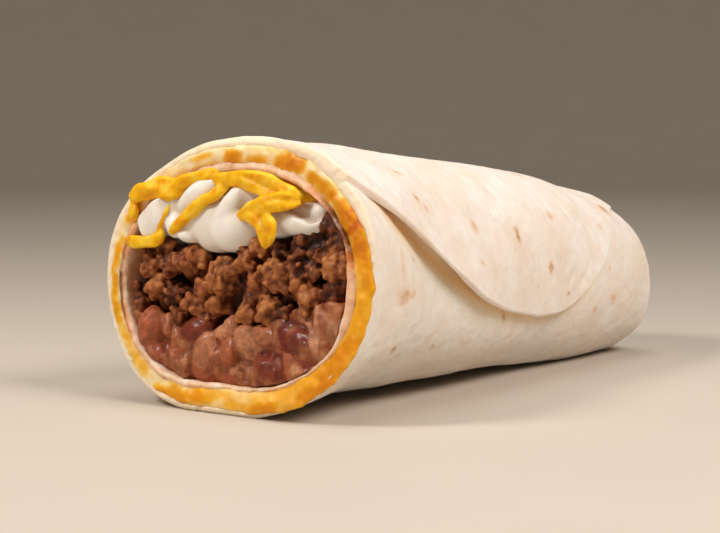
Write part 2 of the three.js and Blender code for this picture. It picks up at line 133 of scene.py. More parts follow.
def lattice_noise(points, size, seed):
    """Smooth unevenness from -1 to 1; size is the distance over which it changes."""
    table = np.random.default_rng(seed).uniform(-1.0, 1.0, NOISE_VALUES)
    place = np.asarray(points, float) / size
    cell = np.floor(place).astype(np.int64)
    share = place - cell
    share = share * share * (3.0 - 2.0 * share)
    total = np.zeros(place.shape[:-1])
    for corner in np.ndindex(2, 2, 2):
        key = (cell + corner) @ NOISE_HASH
        weight = np.prod(np.where(corner, share, 1.0 - share), axis=-1)
        total += weight * table[(key ^ (key >> 13)) & (NOISE_VALUES - 1)]
    return total


def waves(points, *layers):
    """Unevenness summed from layers of [height, size, seed], mm."""
    return sum(height * lattice_noise(points, size, seed) for height, size, seed in layers)


# ---- The burrito's form ----

# A ring is a row of [x, drawn in, forward, outward, share of its radius].


def body_rings(stations):
    x = np.asarray(stations, float)
    return np.stack([x, 0 * x, 0 * x, 0 * x + 1, 0 * x + 1], -1)


def edge_rings(turns, share=1.0):
    """Rings on the closed end's rounded edge, turned by so many degrees from side to end."""
    turn = np.radians(np.asarray(turns, float))
    sin, cos = np.sin(turn), np.cos(turn)
    return np.stack([LENGTH - END_ROUND * (1 - sin), END_ROUND * (1 - cos), sin, cos, 0 * turn + share], -1)


def end_rings(shares):
    """Rings on the flat of the closed end, at shares of its radius."""
    return np.concatenate([edge_rings([90.0], share) for share in shares])


def unevenness(x, angle):
    """Soft unevenness of a hand-rolled wrap."""
    gentle = 0.35 * np.sin(3 * angle + 0.06 * x) + 0.3 * np.sin(2 * angle - 0.09 * x + 1)
    degrees = np.degrees(angle) % 360.0
    fuller = 1.1 * np.exp(-(((degrees - 232) / 20) ** 2))
    flatter = 1.7 * np.exp(-(((degrees - 130) / 24) ** 2))
    return gentle + np.exp(-x / 45) * (fuller - flatter)


def section(x):
    """Middle height, half width, half height and lift of the underside at a place."""
    share = x / LENGTH
    height = along(HEIGHTS, share)
    flat = between(FLAT_AT_RIM, FLAT_AT_BODY, smoothstep(x, 0, FLAT_FROM))
    rise = ARCH_RISE * smoothstep(x, 0, ARCH_FULL) * (1 - smoothstep(x, ARCH_DOWN_FROM, ARCH_DOWN_TO))
    return (height + rise - flat) / 2, along(HALF_WIDTHS, share), (height - rise + flat) / 2, rise


def lean_at(x, height):
    """How far a point moves along x because the rim leans back and the closed end leans out."""
    back = np.clip(1 - x / LEAN_REACH, 0, 1) * RIM_LEAN
    out = smoothstep(x, END_LEAN_FROM, LENGTH) * END_LEAN
    return (back - out) * (height - along(HEIGHTS, x / LENGTH) / 2)


def form_points(rings, angle, inset=0.0, lift=0.0):
    """Points of the form, `inset` deep and raised by `lift`, one row for each ring."""
    x, draw, forward, outward, share = (rings[:, i : i + 1] for i in range(5))
    drawn = draw + inset * outward
    middle, half_width, half_height, rise = section(x)
    across, up = np.abs(np.cos(angle)) ** SQUARENESS, np.abs(np.sin(angle)) ** SQUARENESS
    reach = (across + up) ** (-1 / SQUARENESS) * share
    proud = (unevenness(x, angle) + lift) * outward * share
    y = -np.cos(angle) * ((half_width - drawn) * reach + proud)
    z = middle + np.sin(angle) * ((half_height - drawn) * reach + proud)
    z = np.maximum(z, middle - (middle - drawn - rise) * share)
    return np.stack(np.broadcast_arrays(x + (lift - inset) * forward + lean_at(x, z), y, z), -1)


def face_point(near, height, depth):
    """A point at a depth behind the rim's leaning plane."""
    return np.array([depth + RIM_LEAN * (height - HEIGHTS[0] / 2), -near, height])


def sauce_depth(angle, x):
    uneven = 1 - smoothstep(x, 60, 130)
    around = SAUCE_NEAR * np.cos(angle) + SAUCE_TOP * np.sin(angle)
    return SAUCE_MEAN + uneven * (around + SAUCE_SIDES * np.cos(2 * angle))


def sauce_inside(angle, x):
    return OUTER_WALL + GAP + sauce_depth(angle, x)


def inner_outside(angle, x):
    return sauce_inside(angle, x) + GAP


def inner_inside(angle, x):
    return inner_outside(angle, x) + INNER_WALL


def filling_skin(angle, x):
    return inner_inside(angle, x) + GAP


def rim_wave(angle):
    return 0.45 * np.sin(2 * angle + 1) + 0.3 * np.sin(5 * angle + 2)


# Round the rim, depths from the wrap's outline: [degrees, where the sauce starts, where the inner
# tortilla's cut edge starts, where the filling starts].
RIM = [
    (0, 0, 4.3, 6.9), (10, 0.5, 5.1, 6.6), (20, 1.1, 5.6, 6.3), (30, 1.8, 6, 6.6), (40, 2.5, 5.9, 6.8),
    (50, 2.1, 5.6, 7.2), (60, 1, 5, 6.8), (75, 0.6, 4.4, 6.5), (90, 0.5, 3.8, 6.2), (105, 0.4, 3.2, 5.8),
    (120, 0.5, 2.9, 5.4), (150, 0.7, 2.9, 5.2), (170, 0.9, 3.4, 5.7), (190, 0.6, 2.6, 4.7),
    (205, 0.7, 3.2, 5.1), (220, 1, 3.9, 5.6), (232, 1.4, 4.2, 6.2), (250, 1.5, 4.9, 6.3),
    (270, 1.4, 5.1, 6.4), (285, 0.9, 4.9, 6.1), (300, -0.2, 4.5, 5.5), (315, -0.9, 4.2, 5),
    (330, -1, 3.6, 4.8), (345, -0.5, 3.8, 6.1),
]


def rim_depths(angle):
    """Where the sauce, the inner tortilla's edge and the filling start at the rim, mm."""
    places, *depths = np.array(RIM).T
    return [np.interp(np.degrees(angle), places, depth, period=360) for depth in depths]


def flap_edge(x):
    """The angle of the flap's edge at a distance along the length, degrees."""
    ahead = np.clip(79 - x, 0, None) / 76
    front = FLAP_LOWEST + 59 * ahead**1.85
    share = np.clip((x - 84) / 58, 0, 1)
    return np.where(ahead > 0, front, FLAP_LOWEST + 36 * (1 - np.cos(np.pi * share)))


def behind_rim(points):
    """How far points are behind the rim's leaning plane."""
    return points[:, 0] - RIM_LEAN * (points[:, 2] - HEIGHTS[0] / 2)


def held_inside(points, inset, fuller=1.0):
    """Points drawn in to the filling's outline, and spread to the inner tortilla's edge at the rim."""
    spread = 1 + (fuller - 1) * (1 - smoothstep(points[:, 0], SPREAD_FROM, SPREAD_TO))
    across, z = points[:, 1] * spread, FACE_MIDDLE + (points[:, 2] - FACE_MIDDLE) * spread
    tilt = RIM_LEAN * (z - HEIGHTS[0] / 2)
    x = np.clip((points[:, 0] - tilt) / (1 - tilt / LEAN_REACH), 0, LENGTH)
    middle, half_width, half_height, _ = section(x)
    up = z - middle
    angle = np.arctan2(up / half_height, -across / half_width)
    skin = filling_skin(angle, x) + inset - unevenness(x, angle)
    wide, tall = np.abs(across) / (half_width - skin), np.abs(up) / (half_height - skin)
    reach = np.maximum(wide**SQUARENESS + tall**SQUARENESS, 1e-9) ** (1 / SQUARENESS)
    held = np.minimum(reach, 1.0)
    shift = (rim_depths(angle)[2] - inner_inside(angle, 0.0)) * (1 - smoothstep(x, 0, FILL_BLEND))
    draw = held / reach * (1 - shift * held / (half_height - skin))
    return np.stack([points[:, 0], across * draw, middle + up * draw], -1)


def brought_forward(points):
    """Points of the open face moved toward the rim, most on the far side."""
    moved = np.array(points)
    most = 1.0 + 1.1 * smoothstep(points[:, 1], 2, 28)
    moved[:, 0] -= most * (1 - smoothstep(behind_rim(points), FRONT_FROM, FRONT_TO))
    return moved


def layer_x(rings):
    """Where along the length the layers' depths are read: the whole closed end counts as one place."""
    return np.where(rings[:, :1] < LENGTH - END_ROUND, rings[:, :1], LENGTH)


def end_middle(inset=0.0):
    """The middle of the closed end, `inset` deep."""
    return form_points(end_rings([0.0]), np.zeros((1, 1)), inset)[0, 0]


# ---- Meshes ----


def framed(points):
    """From millimetres in the part's run to metres in the frame."""
    return (np.asarray(points, float) + TO_FRAME) * MM


def mesh_of(name, points, faces):
    """A mesh from points in the part's run, its faces turned to point out."""
    mesh = bpy.data.meshes.new(name)
    mesh.from_pydata(framed(points).tolist(), [], [tuple(face) for face in faces])
    mesh.update()
    work = bmesh.new()
    work.from_mesh(mesh)
    if work.calc_volume(signed=True) < 0:
        bmesh.ops.reverse_faces(work, faces=work.faces)
    work.to_mesh(mesh)
    work.free()
    return mesh


def loft(name, start, rings, end):
    """A closed skin over rings of equally many points, each end closed to one point."""
    rows, columns = len(rings), len(rings[0])
    index = np.arange(rows * columns).reshape(rows, columns) + 1
    after = np.roll(index, -1, axis=1)
    quads = np.stack([index[:-1], after[:-1], after[1:], index[1:]], -1).reshape(-1, 4)
    last = rows * columns + 1
    fans = [(0, b, a) for a, b in zip(index[0], after[0])]
    fans += [(last, a, b) for a, b in zip(index[-1], after[-1])]
    points = np.concatenate([[start], np.concatenate(rings), [end]])
    return mesh_of(name, points, quads.tolist() + fans)


def points_of(mesh):
    """The mesh's points in the part's run, millimetres."""
    flat = np.empty(len(mesh.vertices) * 3)
    mesh.vertices.foreach_get("co", flat)
    return flat.reshape(-1, 3) / MM - TO_FRAME


def set_points(mesh, points):
    mesh.vertices.foreach_set("co", framed(points).ravel())
    mesh.update()


def normals_of(mesh):
    flat = np.empty(len(mesh.vertices) * 3)
    mesh.vertex_normals.foreach_get("vector", flat)
    return flat.reshape(-1, 3)


def moved_out(mesh, points, distance):
    """The points moved along the mesh's normals by a distance for each."""
    return points + distance[:, None] * normals_of(mesh)


def relaxed(mesh, points, rounds, share=0.5):
    """The points moved toward the middle of their neighbours, round after round."""
    ends = np.empty(len(mesh.edges) * 2, np.int64)
    mesh.edges.foreach_get("vertices", ends)
    here = np.concatenate([ends[0::2], ends[1::2]])
    there = np.concatenate([ends[1::2], ends[0::2]])
    count = np.bincount(here, minlength=len(points))[:, None]
    for _ in range(rounds):
        total = np.stack([np.bincount(here, column, len(points)) for column in points[there].T], -1)
        points = points + share * (total / count - points)
    return points


def hollows(mesh, reach):
    """How far each point stands out of the surface round it: below 0 in a hollow, mm."""
    points = points_of(mesh)
    return np.einsum("ij,ij->i", points - relaxed(mesh, points, reach), normals_of(mesh))


def store(mesh, **layers):
    """Values that the mesh's points carry."""
    for name, values in layers.items():
        layer = mesh.attributes.new(name, "FLOAT", "POINT")
        layer.data.foreach_set("value", np.ascontiguousarray(values, np.float32))


def evaluated(piece, name):
    """The piece's modifiers turned into a plain mesh, and the piece itself removed."""
    graph = bpy.context.evaluated_depsgraph_get()
    mesh = bpy.data.meshes.new_from_object(piece.evaluated_get(graph), depsgraph=graph)
    mesh.name = name
    old = piece.data
    bpy.data.objects.remove(piece)
    if old.users == 0:
        bpy.data.meshes.remove(old)
    return mesh


def placed(name, mesh):
    piece = bpy.data.objects.new(name, mesh)
    bpy.context.scene.collection.objects.link(piece)
    return piece


def part_of_node(node, low=None, high=None):
    """A copy of a node's solid between two places along x, closed where it is cut."""
    work = bmesh.new()
    work.from_mesh(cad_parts[node].data)
    bmesh.ops.remove_doubles(work, verts=work.verts, dist=1e-6)
    for cut, beyond in ((low, False), (high, True)):
        if cut is not None:
            bmesh.ops.bisect_plane(
                work, geom=work.verts[:] + work.edges[:] + work.faces[:], dist=1e-7,
                plane_co=framed([cut, 0, 0]), plane_no=(1, 0, 0), clear_outer=beyond, clear_inner=not beyond,
            )
            bmesh.ops.holes_fill(work, edges=[edge for edge in work.edges if edge.is_boundary], sides=0)
    bmesh.ops.triangulate(work, faces=work.faces)
    bmesh.ops.recalc_face_normals(work, faces=work.faces)
    mesh = bpy.data.meshes.new(node)
    work.to_mesh(mesh)
    work.free()
    return mesh


def merged(name, meshes):
    work = bmesh.new()
    for mesh in meshes:
        work.from_mesh(mesh)
    mesh = bpy.data.meshes.new(name)
    work.to_mesh(mesh)
    work.free()
    return mesh


def one_skin(name, meshes, voxel):
    """One closed skin round all the meshes, in cells of the given size, mm."""
    piece = placed(name, merged(name, meshes))
    remesh = piece.modifiers.new("skin", "REMESH")
    remesh.mode = "VOXEL"
    remesh.voxel_size = voxel * MM
    return evaluated(piece, name)


def relaxed_skin(name, meshes, voxel, rounds):
    """One closed skin round all the meshes, and its relaxed points."""
    skin = one_skin(name, meshes, voxel)
    return skin, relaxed(skin, points_of(skin), rounds)


def united(name, front, back):
    """The detailed front and the plain core behind it as one closed mesh."""
    piece, core = placed(name, front), placed(f"{name}_core", back)
    union = piece.modifiers.new("union", "BOOLEAN")
    union.operation = "UNION"
    union.solver = "MANIFOLD"
    union.object = core
    mesh = evaluated(piece, name)
    bpy.data.objects.remove(core)
    return mesh


def finish_piece(name, mesh, material, node):
    """Puts a finished mesh in place of its node."""
    mesh.materials.clear()
    mesh.materials.append(material)
    mesh.polygons.foreach_set("use_smooth", np.ones(len(mesh.polygons), bool))
    mesh.update()
    piece = placed(name, mesh)
    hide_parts(node)
    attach(piece, "root")
    return piece


# ---- Node trees ----


def linear(code):
    """A colour from its sRGB hex code."""
    values = [int(code[i : i + 2], 16) / 255 for i in (1, 3, 5)]
    return tuple(v / 12.92 if v <= 0.04045 else ((v + 0.055) / 1.055) ** 2.4 for v in values) + (1.0,)


def add(tree, kind, inputs=(), stops=(), **settings):
    """Adds a node with its settings, its inputs' values or links, and a ramp's stops."""
    node = tree.nodes.new(kind)
    for name, value in settings.items():
        setattr(node, name, value)
    for name, value in dict(inputs).items():
        for source in value if isinstance(value, list) else [value]:
            if isinstance(source, bpy.types.NodeSocket):
                tree.links.new(source, node.inputs[name])
            else:
                node.inputs[name].default_value = source
    for i, (place, value) in enumerate(stops):
        elements = node.color_ramp.elements
        stop = elements[i] if i < len(elements) else elements.new(place)
        stop.position, stop.color = place, value
    return node


def output(tree, kind, inputs=(), stops=(), **settings):
    """Adds a node and gives its first output."""
    return add(tree, kind, inputs, stops, **settings).outputs[0]


def per_mm(size):
    """A texture's scale for a feature of a size in millimetres, in metres' coordinates."""
    return 1.0 / (size * MM)


def group_tree(name, **sizes):
    """A geometry tree with its geometry sockets, a material input and named sizes."""
    tree = bpy.data.node_groups.new(name, "GeometryNodeTree")
    tree.interface.new_socket("Geometry", in_out="INPUT", socket_type="NodeSocketGeometry")
    tree.interface.new_socket("Geometry", in_out="OUTPUT", socket_type="NodeSocketGeometry")
    tree.interface.new_socket("Material", in_out="INPUT", socket_type="NodeSocketMaterial")
    for label, value in sizes.items():
        kind = "NodeSocketInt" if isinstance(value, int) else "NodeSocketFloat"
        socket = tree.interface.new_socket(label.replace("_", " "), in_out="INPUT", socket_type=kind)
        socket.default_value = value
    return tree, tree.nodes.new("NodeGroupInput").outputs


def close_tree(tree, geometry, material):
    """Ends a geometry tree with real geometry that carries the material."""
    real = output(tree, "GeometryNodeRealizeInstances", {"Geometry": geometry})
    painted = output(tree, "GeometryNodeSetMaterial", {"Geometry": real, "Material": material})
    add(tree, "NodeGroupOutput", {"Geometry": painted})


def named(tree, name, kind="FLOAT"):
    """A named attribute's socket in a geometry tree."""
    return output(tree, "GeometryNodeInputNamedAttribute", {"Name": name}, data_type=kind)


def grown(name, mesh, tree, material, **sizes):
    """The plain mesh that a geometry tree grows on a mesh, with its inputs set."""
    piece = placed(name, mesh)
    modifier = piece.modifiers.new(name, "NODES")
    modifier.node_group = tree
    values = {label.replace("_", " "): value for label, value in sizes.items()} | {"Material": material}
    for item in tree.interface.items_tree:
        if item.in_out == "INPUT" and item.name in values:
            modifier[item.identifier] = values[item.name]
    return evaluated(piece, name)


def cloud(name, centres, edges=()):
    """A mesh of bare points, and of the edges between them."""
    mesh = bpy.data.meshes.new(name)
    mesh.from_pydata(framed(centres).tolist(), list(edges), [])
    return mesh


# ---- The wrap ----

# Toasted spots: [x, degrees round, half length round, half width along, turn, strength].
SPOTS = [
    (29.8, 52, 0.6, 2.3, 15, 0.6), (27.3, 36, 1.3, 0.8, 35, 0.7), (29.4, 32, 1, 0.8, 30, 0.55),
    (48.3, 24, 1.5, 1.7, 0, 0.45), (66.9, 21, 1.9, 1.1, 15, 0.95), (86.2, 32, 1.1, 1.3, 0, 0.5),
    (81.4, 5, 1.7, 1.1, 15, 0.75), (91.2, -9, 0.6, 0.8, 0, 0.9), (47.4, 7, 0.6, 0.8, 0, 0.45),
    (19.7, 9, 0.5, 0.6, 0, 0.8), (14.8, -6, 1.9, 2.8, 0, 0.65), (18.9, -6, 0.9, 0.9, 0, 0.6),
    (13.9, 7, 4.2, 0.8, 0, 0.3), (62.2, -20, 1.5, 0.7, -35, 0.7), (18.1, -32, 1.2, 0.8, -20, 0.85),
    (35, -33, 1.2, 1.2, 0, 0.45), (117.7, -12, 1.5, 1.2, -20, 0.45), (109, -19, 0.8, 0.9, -20, 0.5),
    (114.9, 6, 0.8, 0.9, 0, 0.3), (123.5, 45, 1.6, 1.8, 0, 0.75), (112.6, 30, 1, 1, 0, 0.3),
    (56, 88, 1.8, 1.2, 20, 0.6), (92, 74, 1.2, 1.6, 0, 0.5), (72, 112, 1.6, 1.4, 0, 0.6),
]
MORE_SPOTS = 46
SPOT_SEED = 4

# Short creases of the flap near the closed end: [x, degrees round, half length, turn, depth].
CREASES = [
    (93, 1, 3.4, 32, 0.62), (97.5, -1, 2.6, 26, 0.52), (89.5, 7, 2.4, 40, 0.4), (101, 6, 2.2, 24, 0.45),
    (96, 36, 3.6, -28, 0.34), (104, 30, 3, -20, 0.36), (72, -4, 4.6, 4, 0.3), (76.5, 2, 5, 6, 0.24),
    (110, 20, 3.2, -16, 0.38),
]
CREASE_WIDTH = 0.75

# Columns of the outside: under the flap's lip, over the lip, up its sheet, and on round to it.
UNDER_COLUMNS, LIP_COLUMNS, SHEET_COLUMNS, BELOW_COLUMNS = 4, 8, 186, 170
WRAP_STATIONS = np.concatenate([[0.0, 0.35, 0.8, 1.4], np.linspace(2.1, 137.4, 184)])
WRAP_INSIDE_STATIONS = (0.0, 0.8, 2.0, 5.0, 12.0, 30.0, 65.0, 100.0, 130.0)
END_TURNS = (0, 22, 45, 68, 90)
# The deepest that any of the outside may be pressed in.
DEEPEST = 0.95


def lip_at(x, start=LIP_FROM):
    """How far the flap's edge is a rolled lip at a distance along the length, from 0 to 1."""
    return smoothstep(x, start, LIP_FULL) * (1 - smoothstep(x, LIP_FADE_FROM, LIP_FADE_TO))


def wrap_grid(rings):
    """Angles and lifts of the outside: the flap's lip, the flap, and the rest of the way round."""
    x = rings[:, :1]
    wander = lattice_noise(np.concatenate([x, 0 * x, 0 * x], 1), 6.0, 21)[:, None]
    edge = flap_edge(x) + 0.7 * wander * smoothstep(x, 2, 20)
    lip = lip_at(x)
    gape = lip * (0.5 + 1.5 * hump(x, GAPE_AT, GAPE_HALF))
    thick = FLAP_THICK * (1 - smoothstep(x, FLAP_END - 1.2, FLAP_END + 1.2))
    under = edge + between(-2.2, 6.0, lip)

    share = np.linspace(0, 1, UNDER_COLUMNS, endpoint=False)[None]
    angles = [between(under, edge + between(-1.0, 0.0, lip), share)]
    lifts = [gape * share**1.5 + 0 * angles[0]]
    share = np.linspace(0, 1, LIP_COLUMNS)[None]
    plain, rolled = -1.0 + 1.9 * share, 0.9 * share - 1.3 * np.sin(np.pi * share)
    angles.append(edge + between(plain, rolled, lip))
    lifts.append(gape + thick * (1 - np.cos(np.pi * share)) / 2)
    share = np.linspace(0, 1, SHEET_COLUMNS, endpoint=False)[None]
    angles.append(between(edge + 1.4, FLAP_FADE_TO, share**1.06))
    fade = 1 - smoothstep(angles[-1], FLAP_FADE_FROM, FLAP_FADE_TO)
    lifts.append(thick * fade + gape * np.exp(-(angles[-1] - edge) / 8))
    share = np.linspace(0, 1, BELOW_COLUMNS, endpoint=False)[None]
    angles.append(between(FLAP_FADE_TO, under + 360, share))
    ahead = (edge + 360 - angles[-1]) * 0.55
    pressed = PRESSED_DEEP * lip * hump(x, PRESSED_AT, PRESSED_HALF)
    lifts.append(-pressed * np.exp(-(((ahead - 2.0) / 7.0) ** 2)))
    return np.concatenate(angles, 1), np.concatenate(lifts, 1)


def local_turn(along_x, round_it, turn):
    """Distances along and across a mark that is turned on the surface."""
    sin, cos = math.sin(math.radians(turn)), math.cos(math.radians(turn))
    return round_it * cos + along_x * sin, along_x * cos - round_it * sin


def arc_from(degrees, at, radius):
    """Distance round the section from an angle, mm."""
    return np.radians((degrees - at + 180) % 360 - 180) * radius


def toast_at(x, degrees, radius, points):
    """How toasted the dough is, from 0 to 1."""
    draw = np.random.default_rng(SPOT_SEED)
    spots = list(SPOTS)
    for _ in range(MORE_SPOTS):
        size = 0.6 + 1.7 * draw.random() ** 2
        spots.append((
            8 + 134 * draw.random(), 64 + 236 * draw.random(), size, size * (0.5 + 0.6 * draw.random()),
            60 * (draw.random() - 0.5), 0.35 + 0.5 * draw.random(),
        ))
    ragged = waves(points, (0.45, 1.1, 31), (0.2, 0.55, 32))
    toast = np.zeros(len(x))
    for at, angle, half_round, half_along, turn, strength in spots:
        down, across = local_turn(x - at, arc_from(degrees, angle, radius), turn)
        away = np.hypot(down / half_round, across / half_along)
        toast = np.maximum(toast, strength * (1 - smoothstep(away + ragged, 0.0, 1.6)))
    return toast


def end_folds(points, rings_forward):
    """Relief of the tucked closed end: a lap across it and soft pleats into it."""
    y, z = points[:, 1], points[:, 2] - HEIGHTS[3] / 2
    facing = smoothstep(rings_forward, 0.35, 0.95)
    across = 1 - smoothstep(np.hypot(y / 20, z / 17), 0.75, 1.1)
    lap = smoothstep(z + 0.16 * y - 3.0 - 0.012 * y * y, -0.45, 0.45) - 0.5
    second = smoothstep(0.9 * y + 0.5 * z + 7.0, -0.5, 0.5) * (1 - smoothstep(z + 0.16 * y, -1.0, 2.5))
    round_end = np.arctan2(z, y)
    away = np.hypot(y, z)
    pleats = np.sin(round_end * 9 + 1.5 * np.sin(round_end * 2)) * hump(away, 14, 8)
    return facing * (across * (1.3 * lap + 0.9 * (second - 0.5)) + 0.28 * pleats)


def wrap_rim(line, inner, angles):
    """Rows over the rim's rounded front, with the wave and small tears of a hand-cut edge."""
    tear = waves(line, (0.28, 1.6, 41), (0.16, 0.7, 42))
    rows = []
    for share in (0.12, 0.32, 0.5, 0.68, 0.88):
        row = between(line, inner, share)
        ragged = (rim_wave(angles) + tear) * (1 - abs(2 * share - 1) ** 3)
        row[:, 0] += ragged - 0.585 * math.sin(math.pi * share)
        rows.append(row)
    return rows


def wrap_relief(here, turn, radius, forward):
    """How far the outside stands out or in, mm: its unevenness, creases and tucked end."""
    relief = waves(here, (0.30, 15, 51), (0.15, 5.5, 52), (0.07, 2.0, 53))
    drawn = np.stack([here[:, 0] / 2.4, arc_from(turn, 0, radius) / 15, 0 * radius], -1)
    relief += waves(drawn, (0.03, 1.0, 54))
    for at, angle, half, tilt, depth in CREASES:
        down, across = local_turn(here[:, 0] - at, arc_from(turn, angle, radius), tilt)
        relief -= depth * np.exp(-((across / CREASE_WIDTH) ** 2)) * hump(down, 0, half * 1.6)
    return relief + end_folds(here, forward)


def painted_seam_shade(x, degrees):
    """How much painted shade darkens and warms the sheet just under the flap's edge."""
    turn = degrees.ravel()
    below = (flap_edge(x) - turn + 20) % 360 - 20
    tucked = np.ones(degrees.shape)
    tucked[:, UNDER_COLUMNS : UNDER_COLUMNS + LIP_COLUMNS + SHEET_COLUMNS] = 0.0
    return tucked.ravel() * lip_at(x, 1.0) * np.exp(-((below / 6.0) ** 2))


def wrap_mesh(sheet):
    """The wrap's even skin, its outside's rings, and that outside's angles and lifts."""
    outside = np.concatenate([
        end_rings(np.linspace(0.06, 0.94, 16)),
        edge_rings(np.linspace(90, 6, 16)),
        body_rings(WRAP_STATIONS[::-1]),
    ])
    degrees, lifts = wrap_grid(outside)
    angles = np.radians(degrees)
    grid = form_points(outside, angles, 0.0, lifts)
    rim = angles[-1:]
    thicker = np.maximum(rim_depths(rim)[0] + 0.6 - sheet, 0.0)
    inner_line = form_points(body_rings([0.0]), rim, sheet + thicker)[0]
    inside_rings = np.concatenate([body_rings(WRAP_INSIDE_STATIONS), edge_rings(END_TURNS), end_rings([0.5])])
    near_rim = 1 - smoothstep(inside_rings[:, :1], 0, 4)
    inside = form_points(inside_rings, rim, sheet + thicker * near_rim)
    rings = [*grid, *wrap_rim(grid[-1], inner_line, rim[0]), *inside]
    mesh = loft("tortilla_wrap", end_middle(), rings, end_middle(sheet))
    return mesh, outside, degrees, lifts


def make_wrap(size):
    """The outer tortilla with its flap: a thin cup with a rounded rim and a closed end."""
    mesh, outside, degrees, lifts = wrap_mesh(size.sheet)
    columns = degrees.shape[1]
    points, normals = points_of(mesh), normals_of(mesh)
    out = slice(1, 1 + degrees.size)
    here, turn = points[out], degrees.ravel()
    x, forward = (np.repeat(outside[:, i], columns) for i in (0, 2))
    _, half_width, half_height, _ = section(x)
    radius = (half_width + half_height) / 2
    toast = toast_at(here[:, 0], turn, radius, here)
    relief = wrap_relief(here, turn, radius, forward) + 0.12 * toast
    relief *= smoothstep(here[:, 0], -1.5, 3.0) * 0.75 + 0.25
    relief = np.maximum(relief, -DEEPEST - lifts.ravel())
    points[out] += relief[:, None] * normals[out]
    points[0] += relief[:columns].mean() * normals[0]
    points[:, 2] = np.maximum(points[:, 2], 0.0)
    set_points(mesh, points)

    # Painted shade just under the flap's edge: it warms the soak colour and browns the toast colour there.
    seam_shade = painted_seam_shade(x, degrees)
    soak_and_shade = smoothstep(-points[:, 0] + lean_at(0.0, points[:, 2]), -1.6, 0.9)
    soak_and_shade[out] = np.maximum(soak_and_shade[out], 1.5 * seam_shade)
    browned = np.zeros(len(points))
    browned[out] = np.maximum(toast * size.toasting, 0.34 * seam_shade**2)
    store(mesh, toast=browned, soak=soak_and_shade)
    material = griddled_tortilla(size.dough, size.toasted)
    finish_piece("tortilla_wrap", mesh, material, "tortilla_outer")


# ---- Melted cheese and the inner tortilla ----

SAUCE_COLUMNS, INNER_COLUMNS = 560, 420
BEAD_ROWS = 22
SAUCE_STATIONS = (130.0, 100.0, 65.0, 30.0, 12.0, 5.0, 2.5, 1.2, 0.5)
INNER_STATIONS = (130.0, 100.0, 65.0, 30.0, 12.0, 5.0, 2.0, 0.8)
INNER_NEAR_STATIONS = (0.0, 0.5, 1.1, 1.8, 2.6, 3.5, 4.5, 6.0, 8.0, 12.0)
INNER_EDGE_SHARES = (0.0, 0.1, 0.24, 0.38, 0.5, 0.6, 0.7, 0.8, 0.9)
# Where the inner tortilla's cut edge is darkened most, with juice stain, and near the top
# also with painted shade in the groove behind the bead: [degrees round, half of their spread].
NEAR_TOP, FAR_SIDE = (30, 42), (185, 60)


def ring_angles(columns):
    return np.linspace(0, 2 * np.pi, columns, endpoint=False)[None]


# Riper patches of the sauce on the rim: [degrees, depth from the outline, half length in degrees,
# half width in mm, how ripe, how deep its orange].
PATCHES = [
    (277, 2.4, 7, 1.1, 0.6, 0), (268, 3.8, 9, 1.6, 0.4, 0), (291, 1.4, 9, 1.7, 0.95, 0.1),
    (300, 3.6, 10, 1.6, 0.5, 0), (306, 1.2, 11, 2.4, 0.9, 0.15), (319, 0.6, 13, 2.1, 1, 0.45),
    (327, 2.6, 9, 1.8, 1, 0.3), (334, 1.8, 8, 2.4, 1, 0.3), (343, 0.4, 8, 1.8, 0.9, 0.1),
    (350, 1.8, 11, 2.6, 0.72, 0), (2, 1.2, 11, 2.4, 0.85, 0.05), (10, 1.8, 9, 2.8, 0.95, 0.12),
    (18, 2.8, 8, 2.8, 1, 0.5), (27, 3.2, 7, 3.2, 1, 1), (36, 4, 4.5, 1.9, 0.8, 0.5),
    (43, 3.9, 4, 1.7, 0.95, 0.75), (51, 3.7, 6, 1.5, 0.9, 0.3), (66, 2.9, 6, 2.2, 1, 0.5),
    (82, 3.4, 5, 0.9, 0.6, 0), (93, 2.6, 3.8, 1.3, 0.95, 0.2), (108, 1.6, 6, 0.8, 0.55, 0),
    (120, 2.2, 5, 0.8, 0.2, 0), (152, 2.2, 6, 1.6, 0.85, 0.1), (172, 2.2, 10, 1.3, 0.8, 0),
    (186, 1.8, 10, 1.2, 0.9, 0.05), (198, 1.4, 9, 1.1, 0.95, 0.05), (211, 2.4, 6, 1.4, 0.5, 0),
    (228, 2.8, 8, 1.6, 0.55, 0), (243, 1.6, 6, 1.5, 0.9, 0.05), (249, 2.2, 7, 1.8, 1, 0.2),
    (257, 3.6, 7, 1.6, 0.95, 0.1), (264, 3.6, 5, 1.4, 0.6, 0),
]


def sauce_tone(degrees, depth, points):
    """How ripe the sauce is at each point, and how deep its orange, from 0 to 1."""
    ragged = waves(points, (0.5, 2.8, 66), (0.35, 1.2, 67))
    near = np.maximum(hump(degrees, 8, 40), hump(degrees, 368, 40))
    ripe = 0.12 + 0.5 * hump(degrees, 322, 75) + 0.3 * near
    deep = np.zeros(len(points))
    for at, middle, half, wide, strength, orange in PATCHES:
        away = np.hypot(((degrees - at + 180) % 360 - 180) / half, (depth - middle) / wide) + ragged
        share = 1 - smoothstep(away, 0.0, 1.8)
        ripe = np.maximum(ripe, share * strength)
        deep = np.maximum(deep, share * orange)
    return ripe, deep


